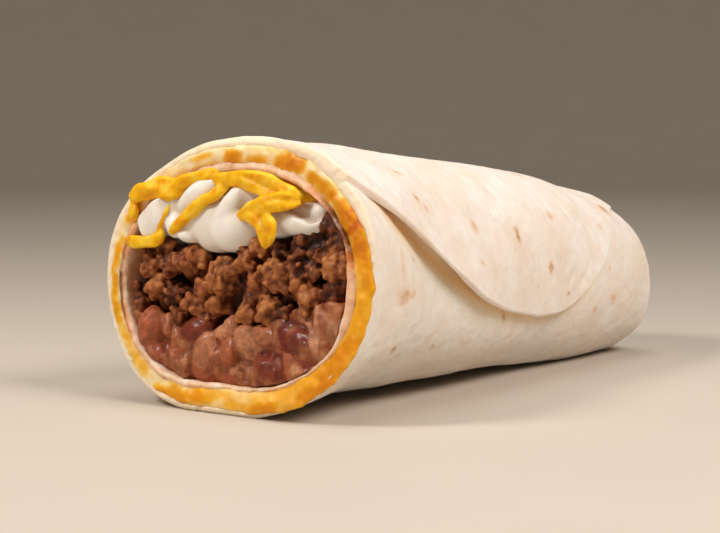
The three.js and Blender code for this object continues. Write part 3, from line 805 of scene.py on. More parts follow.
def sauce_bead(angle, bead):
    """Rows of the bead that wells out at the rim, and the depth of each of its points."""
    rim = body_rings([0.0])
    line = form_points(rim, angle)[0]
    lumps = waves(line, (0.55, 6.5, 61), (0.35, 2.6, 62))
    start, edge, _ = rim_depths(angle)
    from_depth = start + 0.55 * lumps[None]
    to_depth = edge + 0.3 + 0.4 * waves(line, (0.5, 4.5, 69), (0.3, 1.8, 70))[None]
    swell = bead * (0.75 + 0.3 * np.cos(angle) + 0.3 * np.sin(4 * angle + 1)) + 0.5 * lumps[None]
    rows, depths = [], []
    for share in np.linspace(0, 1, BEAD_ROWS):
        depth = between(from_depth, to_depth, share)
        row = form_points(rim, angle, depth)[0]
        arch = math.sin(math.pi * share) ** 0.62
        row[:, 0] += (rim_wave(angle) * (1 - 0.3 * share) - 0.62 + 0.5 * share - swell * arch)[0]
        rows.append(row)
        depths.append(depth[0])
    return rows, np.concatenate(depths)


def make_sauce(size):
    """The sauce's shell along the length, with a lumpy bead that wells out at the rim."""
    angle = ring_angles(SAUCE_COLUMNS)
    outer = np.concatenate([end_rings([0.5]), edge_rings(END_TURNS[::-1]), body_rings(SAUCE_STATIONS)])
    outside = form_points(outer, angle, OUTER_WALL + GAP)
    inner = outer[::-1]
    inside = form_points(inner, angle, sauce_inside(angle, layer_x(inner)))
    bead, depths = sauce_bead(angle, size.bead)
    ends = end_middle(OUTER_WALL + GAP), end_middle(sauce_inside(0.0, LENGTH))
    mesh = loft("melted_cheese", ends[0], [*outside, *bead, *inside], ends[1])

    points, normals = points_of(mesh), normals_of(mesh)
    start = 1 + len(outside) * SAUCE_COLUMNS
    out = slice(start, start + BEAD_ROWS * SAUCE_COLUMNS)
    here = points[out]
    relief = waves(here, (0.3, 2.9, 63), (0.16, 1.4, 64), (0.06, 0.8, 65))
    points[out] += relief[:, None] * normals[out]
    set_points(mesh, points)

    ripe, deep = np.full(len(points), 0.6), np.zeros(len(points))
    ripe[out], deep[out] = sauce_tone(np.tile(np.degrees(angle[0]), BEAD_ROWS), depths, here)
    store(mesh, ripe=ripe, deep=deep)
    material = melted_cheese(size.pale, size.golden, size.oil)
    finish_piece("melted_cheese", mesh, material, "cheese_sauce")


def inner_edge(angle, edge, fill):
    """Rows of the inner tortilla's soft, uneven cut edge, and how stained and shaded each point
    is: juice stain, with painted shade in the groove behind the bead near the top.
    """
    rim, degrees = body_rings([0.0]), np.degrees(angle[0])
    line = form_points(rim, angle, inner_outside(angle, 0.0))[0]
    tear = waves(line, (0.3, 2.4, 71), (0.16, 1.0, 72))
    wander = waves(line, (0.35, 4.0, 75), (0.2, 1.7, 76))
    groove = 0.3 + 1.3 * hump(degrees, 27, 32)
    # Near the top the edge is darkened as painted shade in the groove behind the bead, as well as stained.
    juice_and_shade, far = hump(degrees, *NEAR_TOP), hump(degrees, *FAR_SIDE)
    wet_and_shaded = 0.2 + 0.8 * juice_and_shade + 0.3 * hump(degrees, 375, 60) + 0.8 * far
    rows, soak_and_shade = [], []
    for share in INNER_EDGE_SHARES:
        arch = math.sin(math.pi * share)
        row = form_points(rim, angle, between(edge - 0.3, fill, share) + wander * arch)[0]
        row[:, 0] += 0.6 * rim_wave(angle[0] + 1.3) + tear - 0.75 * arch**0.7 - 0.25
        row[:, 0] += groove * (1 - smoothstep(share, 0.25, 0.75)) + 0.5 * far
        rows.append(row)
        soak_and_shade.append(np.clip(wet_and_shaded, 0, 1) * (1 - smoothstep(share, 0.6, 1.1) * (1 - juice_and_shade)))
    return rows, np.concatenate(soak_and_shade)


def make_inner(size):
    """The inner tortilla: a thin cup with a soft, uneven cut edge."""
    angle = ring_angles(INNER_COLUMNS)
    back = np.concatenate([end_rings([0.5]), edge_rings([90, 45, 0])])
    outer = np.concatenate([back, body_rings(INNER_STATIONS)])
    _, edge, fill = rim_depths(angle)
    shift = (edge - inner_outside(angle, 0.0)) * (1 - smoothstep(outer[:, :1], 0, EDGE_BLEND))
    outside = form_points(outer, angle, inner_outside(angle, layer_x(outer)) + shift)
    inner = np.concatenate([body_rings(INNER_NEAR_STATIONS), body_rings(INNER_STATIONS[3::-1]), back[::-1]])
    shift = (fill - inner_inside(angle, 0.0)) * (1 - smoothstep(inner[:, :1], 0, FILL_BLEND))
    inside = form_points(inner, angle, inner_inside(angle, layer_x(inner)) + shift)
    front, soak_and_shade = inner_edge(angle, edge, fill)
    ends = end_middle(inner_outside(0.0, LENGTH)), end_middle(inner_inside(0.0, LENGTH))
    mesh = loft("inner_tortilla", ends[0], [*outside, *front, *inside], ends[1])

    points, normals = points_of(mesh), normals_of(mesh)
    start = 1 + len(outside) * INNER_COLUMNS
    out = slice(start, start + (len(front) + len(INNER_NEAR_STATIONS)) * INNER_COLUMNS)
    relief = waves(points[out], (0.16, 3.4, 73), (0.08, 1.2, 74))
    points[out] += relief[:, None] * normals[out]
    set_points(mesh, points)
    # The inner wall is painted darker and browner the further it lies behind the rim.
    stain = 0.6 * smoothstep(behind_rim(points), -0.3, 1.2)
    stain[start : start + len(soak_and_shade)] = soak_and_shade
    store(mesh, stain=stain)
    finish_piece("inner_tortilla", mesh, steamed_tortilla(size.damp), "tortilla_inner")


# ---- Beans ----

# Whole beans that show: [toward the near side, height, turn, depth behind the rim, size, tone],
# where tone runs from 0, dark red, to 1, pale.
BEANS = [
    (-22.7, 16.6, -78, 3, 1, 0.58), (-10.2, 16.9, -25, 3, 0.92, 0.05), (-6.9, 12.5, -68, 2.8, 0.95, 0.8),
    (-4.4, 12.9, -62, 3, 0.72, 0.2), (-0.8, 12.6, -75, 2.9, 0.8, 0.65), (-3.2, 16.7, -40, 3, 0.62, 0.85),
    (17.9, 16.9, 25, 2.8, 0.95, 0), (23, 20.6, 70, 2.7, 0.76, 0.95), (26, 22.5, -10, 3, 0.72, 0.95),
    (27.8, 19.8, 80, 3.2, 0.8, 0.95), (22.9, 16, 80, 3, 0.7, 0.95), (11.3, 10.6, 5, 2.8, 0.92, 0.12),
    (15.8, 12, 48, 3.3, 0.8, 0.65), (1.6, 8.7, 0, 3, 0.5, 0.8), (-1.4, 18, 70, 3.3, 0.6, 0.8),
    (3.8, 15.4, 60, 3.4, 0.9, 0.85), (8.1, 17.2, 10, 3.4, 0.75, 0.75), (-7.3, 8.4, 30, 3.3, 0.75, 0.55),
    (-18.6, 17.6, 75, 3.3, 0.62, 0.7), (-14.4, 11.2, 50, 3.5, 0.85, 0.55), (0, 7.3, 10, 3.2, 0.6, 0.5),
    (19.9, 12.3, 30, 3.4, 0.7, 0.4), (-20.8, 11.4, 60, 3.5, 0.7, 0.45),
]
BEAN_HALVES = (3.3, 5.2, 3.5)
# The detailed front reaches this far in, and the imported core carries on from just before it.
BEAN_CUT = 11.0
CORE_OVERLAP = 1.0
BASE_CELL = 0.5


def bean_tree():
    """Whole beans: a bean on each point, by its own turn and size."""
    tree, given = group_tree("whole_beans", Bend=0.16, Sides=3)
    ball = output(tree, "GeometryNodeMeshIcoSphere", {"Radius": 1.0, "Subdivisions": given["Sides"]})
    apart = add(tree, "ShaderNodeSeparateXYZ", {0: output(tree, "GeometryNodeInputPosition")})
    square = output(tree, "ShaderNodeMath", {0: apart.outputs["Y"], 1: 2.0}, operation="POWER")
    bend = output(tree, "ShaderNodeMath", {0: square, 1: given["Bend"]}, operation="MULTIPLY")
    offset = output(tree, "ShaderNodeCombineXYZ", {"Z": bend})
    bean = output(tree, "GeometryNodeSetPosition", {"Geometry": ball, "Offset": offset})
    whole = output(tree, "GeometryNodeInstanceOnPoints", {
        "Points": given["Geometry"], "Instance": bean,
        "Rotation": named(tree, "turn", "FLOAT_VECTOR"), "Scale": named(tree, "size", "FLOAT_VECTOR"),
    })
    close_tree(tree, whole, given["Material"])
    return tree


def bean_points():
    """A mesh of points that carry each bean's turn and size."""
    mesh = cloud("bean_points", [face_point(near, height, depth) for near, height, _, depth, _, _ in BEANS])
    turns = mesh.attributes.new("turn", "FLOAT_VECTOR", "POINT")
    sizes = mesh.attributes.new("size", "FLOAT_VECTOR", "POINT")
    for i, (_, _, turn, _, size, _) in enumerate(BEANS):
        turns.data[i].vector = (math.radians(turn), 0.25 * math.sin(5 * i), 0.3 * math.sin(3 * i))
        sizes.data[i].vector = [half * size * MM for half in BEAN_HALVES]
    return mesh


def bean_share(points):
    """How much of a whole bean's skin shows at each point, and that bean's tone."""
    share, tone = np.zeros(len(points)), np.full(len(points), 0.5)
    for near, height, turn, depth, size, shade in BEANS:
        away = (points - brought_forward(face_point(near, height, depth)[None])) / size
        cos, sin = math.cos(math.radians(turn)), math.sin(math.radians(turn))
        y, z = away[:, 1] * cos + away[:, 2] * sin, away[:, 2] * cos - away[:, 1] * sin
        reach = np.sqrt(sum((v / half) ** 2 for v, half in zip((away[:, 0], y, z), BEAN_HALVES)))
        here = smoothstep(reach, 0.7, 0.86) * (1 - smoothstep(reach, 1.06, 1.26))
        tone = np.where(here > share, shade, tone)
        share = np.maximum(share, here)
    return share, tone


def make_beans(size):
    """Mashed beans with whole ones set on them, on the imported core."""
    material = stewed_beans(size.mash, size.bean)
    whole = grown("whole_beans", bean_points(), bean_tree(), material, Bend=0.16, Sides=4)
    mash, points = relaxed_skin("mash", [part_of_node("beans", high=BEAN_CUT)], BASE_CELL, 12)
    lumps = 1 - 2 * np.abs(lattice_noise(points, 4.6, 81))
    set_points(mash, moved_out(mash, points, 0.85 * lumps + waves(points, (0.5, 2.8, 82)) - 0.35))
    front, points = relaxed_skin("beans_front", [mash, whole], size.grain, 3)
    bean, _ = bean_share(points)
    relief = waves(points, (0.26, 1.9, 83), (0.07, 0.7, 86))
    relief += 0.13 * (1 - 2 * np.abs(lattice_noise(points, 1.2, 84)))
    relief = relief * (1 - 0.6 * bean) + bean * waves(points, (0.28, 2.6, 85))
    points = moved_out(front, points, relief)
    set_points(front, held_inside(brought_forward(points), 0.0, 1.05))
    mesh = united("mashed_beans", front, part_of_node("beans", low=BEAN_CUT - CORE_OVERLAP))
    bean, tone = bean_share(points_of(mesh))
    store(mesh, bean=bean, tone=tone, hollow=hollows(mesh, 14))
    finish_piece("mashed_beans", mesh, material, "beans")


# ---- Ground beef ----

BEEF_CUT = 12.0

# Crumbles that stand out in front: [toward the near side, height, radius, depth of the front,
# how browned and shaded, from 0, dark, to 1]. The values are partly browning and partly painted
# shade: crumbles set further back are given darker values.
CRUMBLES = [
    (-12.4, 32.6, 2.7, 0.4, 0.95), (-16.9, 31.2, 1.8, 0.8, 0.9), (-19.3, 30.9, 1.9, 1.2, 0.55),
    (-23.4, 31.7, 1.7, 1.6, 0.5), (-25.3, 29.6, 1.8, 1, 0.75), (-22.6, 25.9, 2.2, 0.6, 0.95),
    (-21, 34.8, 1.8, 1.4, 0.6), (-13.2, 34.6, 1.8, 1.6, 0.6), (-5.3, 28.1, 3.5, 0.2, 0.85),
    (-4, 30.9, 2, 1, 0.6), (-8.9, 26.4, 2, 0.7, 0.75), (-11.6, 22.9, 1.9, 0.8, 0.8),
    (-6, 22.5, 1.9, 0.9, 0.85), (-10, 21.3, 1.3, 1, 0.8), (-18.5, 24.2, 2.4, 2.4, 0.25),
    (-27.4, 22.1, 1.8, 2.2, 0.35), (-28.3, 25.8, 1.6, 2, 0.3), (-8, 19.5, 1.8, 1.4, 0.5),
    (-16, 20, 1.6, 1.5, 0.55), (-26.2, 32.5, 1.5, 1.6, 0.5), (1.9, 32.2, 1.9, 0.6, 1),
    (-1.1, 30.8, 1.3, 1, 0.8), (4.9, 35, 1.7, 1, 0.85), (0.9, 34.8, 1.6, 1.8, 0.45),
    (10.1, 30.3, 3, 0.1, 0.85), (5.4, 28.5, 2.6, 0.4, 0.8), (10.9, 28.2, 1.5, 1, 0.7),
    (12.4, 27.9, 1.2, 1.6, 0.45), (15.2, 33.4, 1.9, 0.9, 0.6), (15.6, 31.5, 1.7, 1, 0.55),
    (19.6, 31, 1.7, 1.3, 0.5), (20.1, 34.3, 2.1, 1.7, 0.35), (24.8, 35.1, 1.5, 1.2, 0.7),
    (26.2, 32.3, 2.6, 0.3, 1), (28.2, 31.9, 1.7, 0.9, 0.75), (17.2, 28.4, 1.7, 0.7, 0.85),
    (19.4, 26.1, 2.3, 0.4, 0.9), (18.9, 23.9, 1.7, 1, 0.55), (25.4, 26.7, 2.6, 1.4, 0.3),
    (7.3, 25.3, 1.2, 1.2, 0.7), (9.1, 23.3, 2, 0.6, 0.9), (8.4, 21.2, 1.6, 0.9, 0.7),
    (2.9, 21.8, 2.2, 0.5, 1), (11.7, 21.5, 2, 1.8, 0.3), (4, 23.9, 1.3, 1.8, 0.35),
    (24.1, 37.2, 1.8, 1.8, 0.4), (15.2, 36.3, 1.9, 2.2, 0.3), (10.4, 33.8, 1.7, 2, 0.25),
    (27, 28.4, 1.7, 1.6, 0.4), (-0.6, 28.2, 1.8, 2.4, 0.25), (21.8, 40.6, 2, 2, 0.15),
    (24.5, 39.7, 2, 2, 0.2), (19.5, 38.3, 1.9, 1.8, 0.2), (26.6, 37.4, 1.7, 1.6, 0.3),
    (16.5, 37.6, 1.8, 2, 0.25), (25.9, 40.8, 1.6, 2.4, 0.2), (22.9, 42.1, 1.6, 2.4, 0.15),
]
# Dark gaps between them: [toward the near side, height, radius].
GAPS = [
    (-18, 27, 2.6), (-14.1, 26.8, 2), (-25.3, 22.6, 1.6), (-15.4, 24, 1.6), (-17.8, 34.5, 2.4),
    (-9.1, 32.8, 1.8), (-10, 23.9, 1.2), (-2.6, 24, 2.4), (-4.2, 19.9, 1.6), (-23.6, 29.4, 1),
    (12.2, 31.2, 1.7), (7.7, 34.2, 1.8), (-1.4, 25.9, 2.6), (9.9, 25.7, 1.9), (21.3, 29.8, 2.2),
    (20.6, 32.8, 1.2), (-1.9, 22.3, 1.6), (12.7, 24, 1.8), (19.7, 37.7, 2.2), (12.4, 35.9, 1.8),
    (23.2, 40.7, 2.4),
]
MORE_CRUMBLES = 34
CRUMBLE_SEED = 8


def crumble_points():
    """A mesh of points that carry each crumble's radius: the placed ones, and more behind them."""
    draw = np.random.default_rng(CRUMBLE_SEED)
    centres = [face_point(near, height, depth + radius) for near, height, radius, depth, _ in CRUMBLES]
    radii = [radius for _, _, radius, _, _ in CRUMBLES]
    for i in range(MORE_CRUMBLES):
        near = between(-29.5, 29.5, (i + draw.random()) / MORE_CRUMBLES)
        height = between(18.5 + 0.003 * near * near, 35.0 + 0.12 * max(near, 0), (i * 0.618) % 1)
        radius, depth = between(1.2, 2.6, draw.random()), 4.8 + 1.6 * draw.random()
        if all(math.hypot(near - y, height - z) > wide + 0.6 * radius for y, z, wide in GAPS):
            radii.append(radius)
            centres.append(face_point(near, height, depth + radius))
    mesh = cloud("crumble_points", centres)
    store(mesh, radius=np.array(radii) * MM)
    return mesh


def mince_tree():
    """Crumbles of mince: an uneven lump on each point, grown over with ragged bits of meat."""
    tree, given = group_tree(
        "mince_crumbles", Unevenness=0.0015, Density=450000.0, Smallest=0.0004, Largest=0.0013, Seed=3)
    ball = output(tree, "GeometryNodeMeshIcoSphere", {"Radius": 1.0, "Subdivisions": 4})
    on_points = {"Points": given["Geometry"], "Instance": ball, "Scale": named(tree, "radius")}
    balls = output(tree, "GeometryNodeInstanceOnPoints", on_points)
    real = output(tree, "GeometryNodeRealizeInstances", {"Geometry": balls})
    cloudy = add(tree, "ShaderNodeTexNoise", {"Scale": per_mm(3.2), "Detail": 4.0, "Roughness": 0.65})
    halves = {0: cloudy.outputs["Color"], 1: (0.5, 0.5, 0.5)}
    centred = output(tree, "ShaderNodeVectorMath", halves, operation="SUBTRACT")
    reach = output(tree, "ShaderNodeMath", {0: given["Unevenness"], 1: 5.0}, operation="MULTIPLY")
    shift = output(tree, "ShaderNodeVectorMath", {0: centred, "Scale": reach}, operation="SCALE")
    lumps = output(tree, "GeometryNodeSetPosition", {"Geometry": real, "Offset": shift})
    spread = {"Mesh": lumps, "Density": given["Density"], "Seed": given["Seed"]}
    points = output(tree, "GeometryNodeDistributePointsOnFaces", spread, distribute_method="RANDOM")
    bit = output(tree, "GeometryNodeMeshIcoSphere", {"Radius": 1.0, "Subdivisions": 2})
    low, high = (
        output(tree, "ShaderNodeCombineXYZ", {axis: given[bound] for axis in range(3)})
        for bound in ("Smallest", "Largest")
    )
    sizes = {0: low, 1: high, "Seed": given["Seed"]}
    turns = {0: (0.0, 0.0, 0.0), 1: (6.28, 6.28, 6.28), "Seed": 11}
    size, turn = (
        output(tree, "FunctionNodeRandomValue", bounds, data_type="FLOAT_VECTOR") for bounds in (sizes, turns)
    )
    grown_on = {"Points": points, "Instance": bit, "Rotation": turn, "Scale": size}
    bits = output(tree, "GeometryNodeInstanceOnPoints", grown_on)
    close_tree(tree, output(tree, "GeometryNodeJoinGeometry", {"Geometry": [lumps, bits]}), given["Material"])
    return tree


def crumble_tone_and_shade(points):
    """How browned and shaded the meat is at each point, after the crumble that it belongs to:
    partly browning and partly painted shade.
    """
    total, weights = 0.3 * np.ones(len(points)), np.ones(len(points))
    for near, height, radius, depth, tone in CRUMBLES:
        centre = brought_forward(face_point(near, height, depth + radius)[None])
        weight = 12 * np.exp(-((np.linalg.norm(points - centre, axis=1) / (radius + 0.7)) ** 4))
        total, weights = total + weight * tone, weights + weight
    return total / weights


def make_beef(size):
    """Crumbles of ground beef over a sunken base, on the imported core."""
    material = browned_mince(size.meat, size.crust)
    base, points = relaxed_skin("beef_base", [part_of_node("beef", high=BEEF_CUT)], BASE_CELL, 10)
    in_gaps = sum(hump(np.hypot(points[:, 1] + y, points[:, 2] - z), 0, 1.4 * wide) for y, z, wide in GAPS)
    points[:, 0] += np.minimum(2.0 + 2.0 * in_gaps, 4.2) * (1 - smoothstep(behind_rim(points), 5.0, 11.0))
    set_points(base, points)
    crumbles = grown(
        "crumbles", crumble_points(), mince_tree(), material,
        Unevenness=0.85 * MM, Density=3.2e5, Smallest=0.45 * MM, Largest=1.25 * MM, Seed=5)
    front, points = relaxed_skin("beef_front", [base, crumbles], size.crumb, 3)
    points = moved_out(front, points, waves(points, (0.3, 2.2, 92), (0.18, 1.2, 93), (0.08, 0.6, 94)))
    set_points(front, held_inside(brought_forward(points), 0.0, 1.03))
    mesh = united("ground_beef", front, part_of_node("beef", low=BEEF_CUT - CORE_OVERLAP))
    points = points_of(mesh)
    # How far each point stands out or sinks in, read by the material as painted light and shade.
    store(mesh, hollow=hollows(mesh, 50), crease=hollows(mesh, 8))
    store(mesh, depth=behind_rim(points), browned=crumble_tone_and_shade(points))
    finish_piece("ground_beef", mesh, material, "beef")


# ---- Sour cream ----

# Dollops: [toward the near side, height, half width, half height, half depth, depth, turn].
DOLLOPS = [
    (-2.3, 39.4, 7, 5.6, 4.8, 3, 0), (-2, 43.9, 2.8, 6.6, 3.8, 1.6, 42),
    (-12.3, 40.6, 3.6, 5, 2.6, 3.4, 30), (-17.8, 39.5, 2.1, 3, 2.2, 1.4, 8),
    (-14.4, 37.4, 3, 1.6, 2.4, 1.8, 14), (-10.9, 46.5, 7.4, 2.8, 2.6, 1.2, -30),
    (-22.8, 41.9, 3.3, 5.8, 2.6, 1.1, 14), (-25.6, 39.2, 2.6, 3, 2.2, 0.9, 10),
    (-27.2, 42.8, 2.6, 4.2, 2.2, 1.2, 14), (-19, 44.6, 2.6, 3.4, 2, 1.7, 10),
    (16, 42.5, 5.6, 3, 3, 5.1, 0), (0.7, 46.5, 4, 3, 3, 2.2, 0), (19.9, 44, 2.4, 2, 2.4, 4.8, 0),
]
CREAM_CUT = 9.0


def ball_of(centre, halves, turn, rings=24, columns=40):
    """A smooth stretched ball, turned about the burrito's length."""
    up = np.radians(np.linspace(0, 180, rings + 2)[1:-1])[:, None]
    round_it = ring_angles(columns)
    sphere = np.cos(up), np.sin(up) * np.cos(round_it), np.sin(up) * np.sin(round_it)
    cos, sin = math.cos(math.radians(turn)), math.sin(math.radians(turn))
    about = np.array([[1, 0, 0], [0, cos, -sin], [0, sin, cos]])
    shape = (np.stack(np.broadcast_arrays(*sphere), -1) * halves) @ about.T + centre
    tip = np.array([halves[0], 0, 0])
    return loft("ball", centre + tip, list(shape), centre - tip)


def make_cream(size):
    """Dollops of sour cream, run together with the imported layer."""
    balls = [
        ball_of(face_point(near, height, depth), np.array([thick, wide, tall]), turn)
        for near, height, wide, tall, thick, depth, turn in DOLLOPS
    ]
    # The layer's low sides lie back behind the beef.
    layer = one_skin("cream_layer", [part_of_node("sour_cream", high=CREAM_CUT)], BASE_CELL)
    points = points_of(layer)
    low = 1 - smoothstep(points[:, 2], 36.0, 39.0)
    aside = np.maximum(smoothstep(points[:, 1], 10.0, 14.0), smoothstep(-points[:, 1], 4.0, 8.0))
    points[:, 0] += 3.5 * low * aside * (1 - smoothstep(points[:, 0], 5.0, 9.0))
    set_points(layer, points)
    front, points = relaxed_skin("cream_front", [layer, *balls], size.grain, 30)
    points = moved_out(front, points, waves(points, (0.22, 4.5, 101), (0.05, 1.8, 102)))
    set_points(front, held_inside(brought_forward(points), 0.05))
    mesh = united("cream_dollops", front, part_of_node("sour_cream", low=CREAM_CUT - CORE_OVERLAP))
    store(mesh, hollow=hollows(mesh, 60))
    finish_piece("cream_dollops", mesh, spooned_cream(size.cream), "sour_cream")


# ---- Cheddar ----

# Each shred is its share of the set width, and a run of [toward the near side, height, depth behind
# the rim].
SHREDS = [
    (0.95, [(-26.1, 48.2, -1.0), (-22.1, 48.9, -1.5), (-18.6, 48.8, -1.8), (-16.1, 48.9, -1.8),
        (-13.7, 49.7, -1.7), (-10.6, 50.5, -1.5), (-7.5, 50.9, -1.2), (-5.4, 50.5, -0.4)]),
    (1.25, [(-31.7, 45.1, -1.0), (-29.3, 46.2, -1.7), (-26.4, 46.8, -2.0), (-22.8, 46.9, -2.1),
        (-19.9, 46.9, -2.1), (-17.7, 47.1, -1.7), (-16.2, 47.9, -1.2), (-15.2, 48.9, -0.6)]),
    (1.15, [(-29.1, 46.1, -1.0), (-26.0, 47.4, -1.3), (-22.1, 47.9, -1.4), (-19.0, 47.8, -1.0)]),
    (0.85, [(-8.6, 49.2, -0.6), (-4.8, 49.8, -1.4), (-0.9, 50.6, -1.9), (4.3, 50.7, -2.0), (8.7, 50.1, -1.8),
        (12.4, 48.7, -1.4), (15.2, 47.3, -0.8), (17.3, 46.3, 0.0)]),
    (0.85, [(-5.2, 48.9, -1.2), (-0.2, 49.6, -1.9), (4.1, 48.8, -2.1), (7.1, 47.8, -2.0), (9.8, 47.2, -1.6),
        (12.5, 47.0, -0.8)]),
    (0.88, [(-18.5, 37.8, -1.2), (-16.3, 39.3, -2.0), (-13.3, 41.5, -2.4), (-10.8, 43.2, -2.5),
        (-8.5, 44.9, -2.5), (-5.7, 46.3, -2.4), (-3.6, 47.9, -2.1), (-2.6, 49.1, -1.2)]),
    (0.4, [(-17.1, 40.5, -1.3), (-14.2, 42.3, -2.1), (-11.8, 44.2, -2.2), (-9.4, 45.7, -2.2),
        (-7.7, 47.0, -1.8)]),
    (0.75, [(1.5, 42.2, -2.2), (4.6, 43.8, -2.7), (7.6, 45.0, -2.9), (10.8, 46.2, -2.7), (14.2, 46.5, -2.1),
        (17.0, 46.1, -0.8)]),
    (0.75, [(2.1, 41.7, -2.2), (5.8, 42.9, -2.9), (9.3, 43.9, -3.0), (12.4, 44.6, -2.7), (15.2, 44.8, -2.0),
        (17.4, 45.5, -0.6)]),
    (0.8, [(2.6, 42.0, -2.0), (5.8, 42.0, -2.7), (8.0, 40.9, -3.1), (9.5, 39.1, -3.2), (9.9, 37.4, -3.0),
        (9.5, 35.9, -2.4)]),
    (0.8, [(7.2, 42.9, -2.4), (10.2, 42.1, -3.0), (11.8, 40.7, -3.3), (12.2, 39.2, -3.2), (11.3, 37.6, -2.9),
        (9.7, 36.1, -2.3)]),
    (0.45, [(-18.6, 45.7, -1.5), (-19.2, 43.4, -1.8), (-20.4, 41.5, -1.9), (-21.1, 39.5, -1.9),
        (-21.8, 37.6, -1.8)]),
    (0.95, [(-32.2, 35.9, -1.0), (-29.0, 35.6, -1.5), (-25.7, 35.7, -1.8), (-22.7, 36.0, -1.9),
        (-21.2, 37.2, -1.8), (-21.0, 38.7, -1.6)]),
    (0.8, [(-30.9, 45.0, -1.2), (-30.2, 43.5, -1.4), (-30.0, 41.8, -1.3), (-30.6, 40.0, -0.7)]),
]
# The layer behind the shreds is cut out between the first two places, and the core starts at the
# third, so that they overlap.
CHEDDAR_CUT, CHEDDAR_BACK, CHEDDAR_CORE = 4.8, 9.3, 7.0
SHRED_ROUNDING, SHRED_STEP = 0.8, 0.5


def shred_tree():
    """Shreds of grated cheese: a strip with rounded edges swept along each run."""
    tree, given = group_tree("cheddar_shreds", Width=0.0028, Thickness=0.0018, Rounding=0.0006, Step=0.0005)
    runs = output(tree, "GeometryNodeMeshToCurve", {"Mesh": given["Geometry"]})
    smooth = output(tree, "GeometryNodeCurveSplineType", {"Curve": runs}, spline_type="CATMULL_ROM")
    spaced = {"Curve": smooth, "Length": given["Step"]}
    even = output(tree, "GeometryNodeResampleCurve", spaced, mode="LENGTH")
    toward = {"Curve": even, "Normal": (-1.0, 0.0, 0.0)}
    facing = output(tree, "GeometryNodeSetCurveNormal", toward, mode="FREE")
    turned = output(tree, "GeometryNodeSetCurveTilt", {"Curve": facing, "Tilt": named(tree, "twist")})
    sides = {"Width": given["Thickness"], "Height": given["Width"]}
    strip = output(tree, "GeometryNodeCurvePrimitiveQuadrilateral", sides)
    corners = {"Curve": strip, "Radius": given["Rounding"], "Count": 3}
    rounded = output(tree, "GeometryNodeFilletCurve", corners, mode="POLY")
    sweep = {"Curve": turned, "Profile Curve": rounded, "Scale": named(tree, "wide"), "Fill Caps": True}
    close_tree(tree, output(tree, "GeometryNodeCurveToMesh", sweep), given["Material"])
    return tree


def shred_runs():
    """The runs as chains of points that carry each shred's width and twist."""
    points, chains, wide, twist = [], [], [], []
    for i, (width, run) in enumerate(SHREDS):
        for j, place in enumerate(run):
            if j:
                chains.append((len(points) - 1, len(points)))
            points.append(face_point(*place))
            ends = 0.55 if j in (0, len(run) - 1) else 1.0
            wide.append(width * ends * (1.0 + 0.1 * math.sin(4.1 * i + 2.3 * j)))
            twist.append(0.35 * math.sin(2.7 * i + 1.9 * j))
    mesh = cloud("shred_runs", points, chains)
    store(mesh, wide=wide, twist=twist)
    return mesh


def make_cheddar(size):
    """Cheddar shreds across the open face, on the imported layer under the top."""
    material = grated_cheddar(size.cheddar, size.edge)
    shreds = grown(
        "shreds", shred_runs(), shred_tree(), material, Width=size.shred_width,
        Thickness=size.shred_thickness, Rounding=SHRED_ROUNDING * MM, Step=SHRED_STEP * MM)
    nose = part_of_node("shredded_cheddar", CHEDDAR_CUT, CHEDDAR_BACK)
    points = points_of(nose)
    aside = np.maximum(smoothstep(points[:, 1], 14, 18), smoothstep(-points[:, 1], 13, 17))
    points[:, 0] += 3.0 * aside - 1.3
    set_points(nose, points)
    front, points = relaxed_skin("cheddar_front", [nose, shreds], size.grain, 4)
    set_points(front, moved_out(front, points, waves(points, (0.16, 2.2, 111), (0.06, 0.9, 112))))
    mesh = united("cheddar_shreds", front, part_of_node("shredded_cheddar", low=CHEDDAR_CORE))
    store(mesh, hollow=hollows(mesh, 14))
    finish_piece("cheddar_shreds", mesh, material, "shredded_cheddar")


# ---- Materials ----


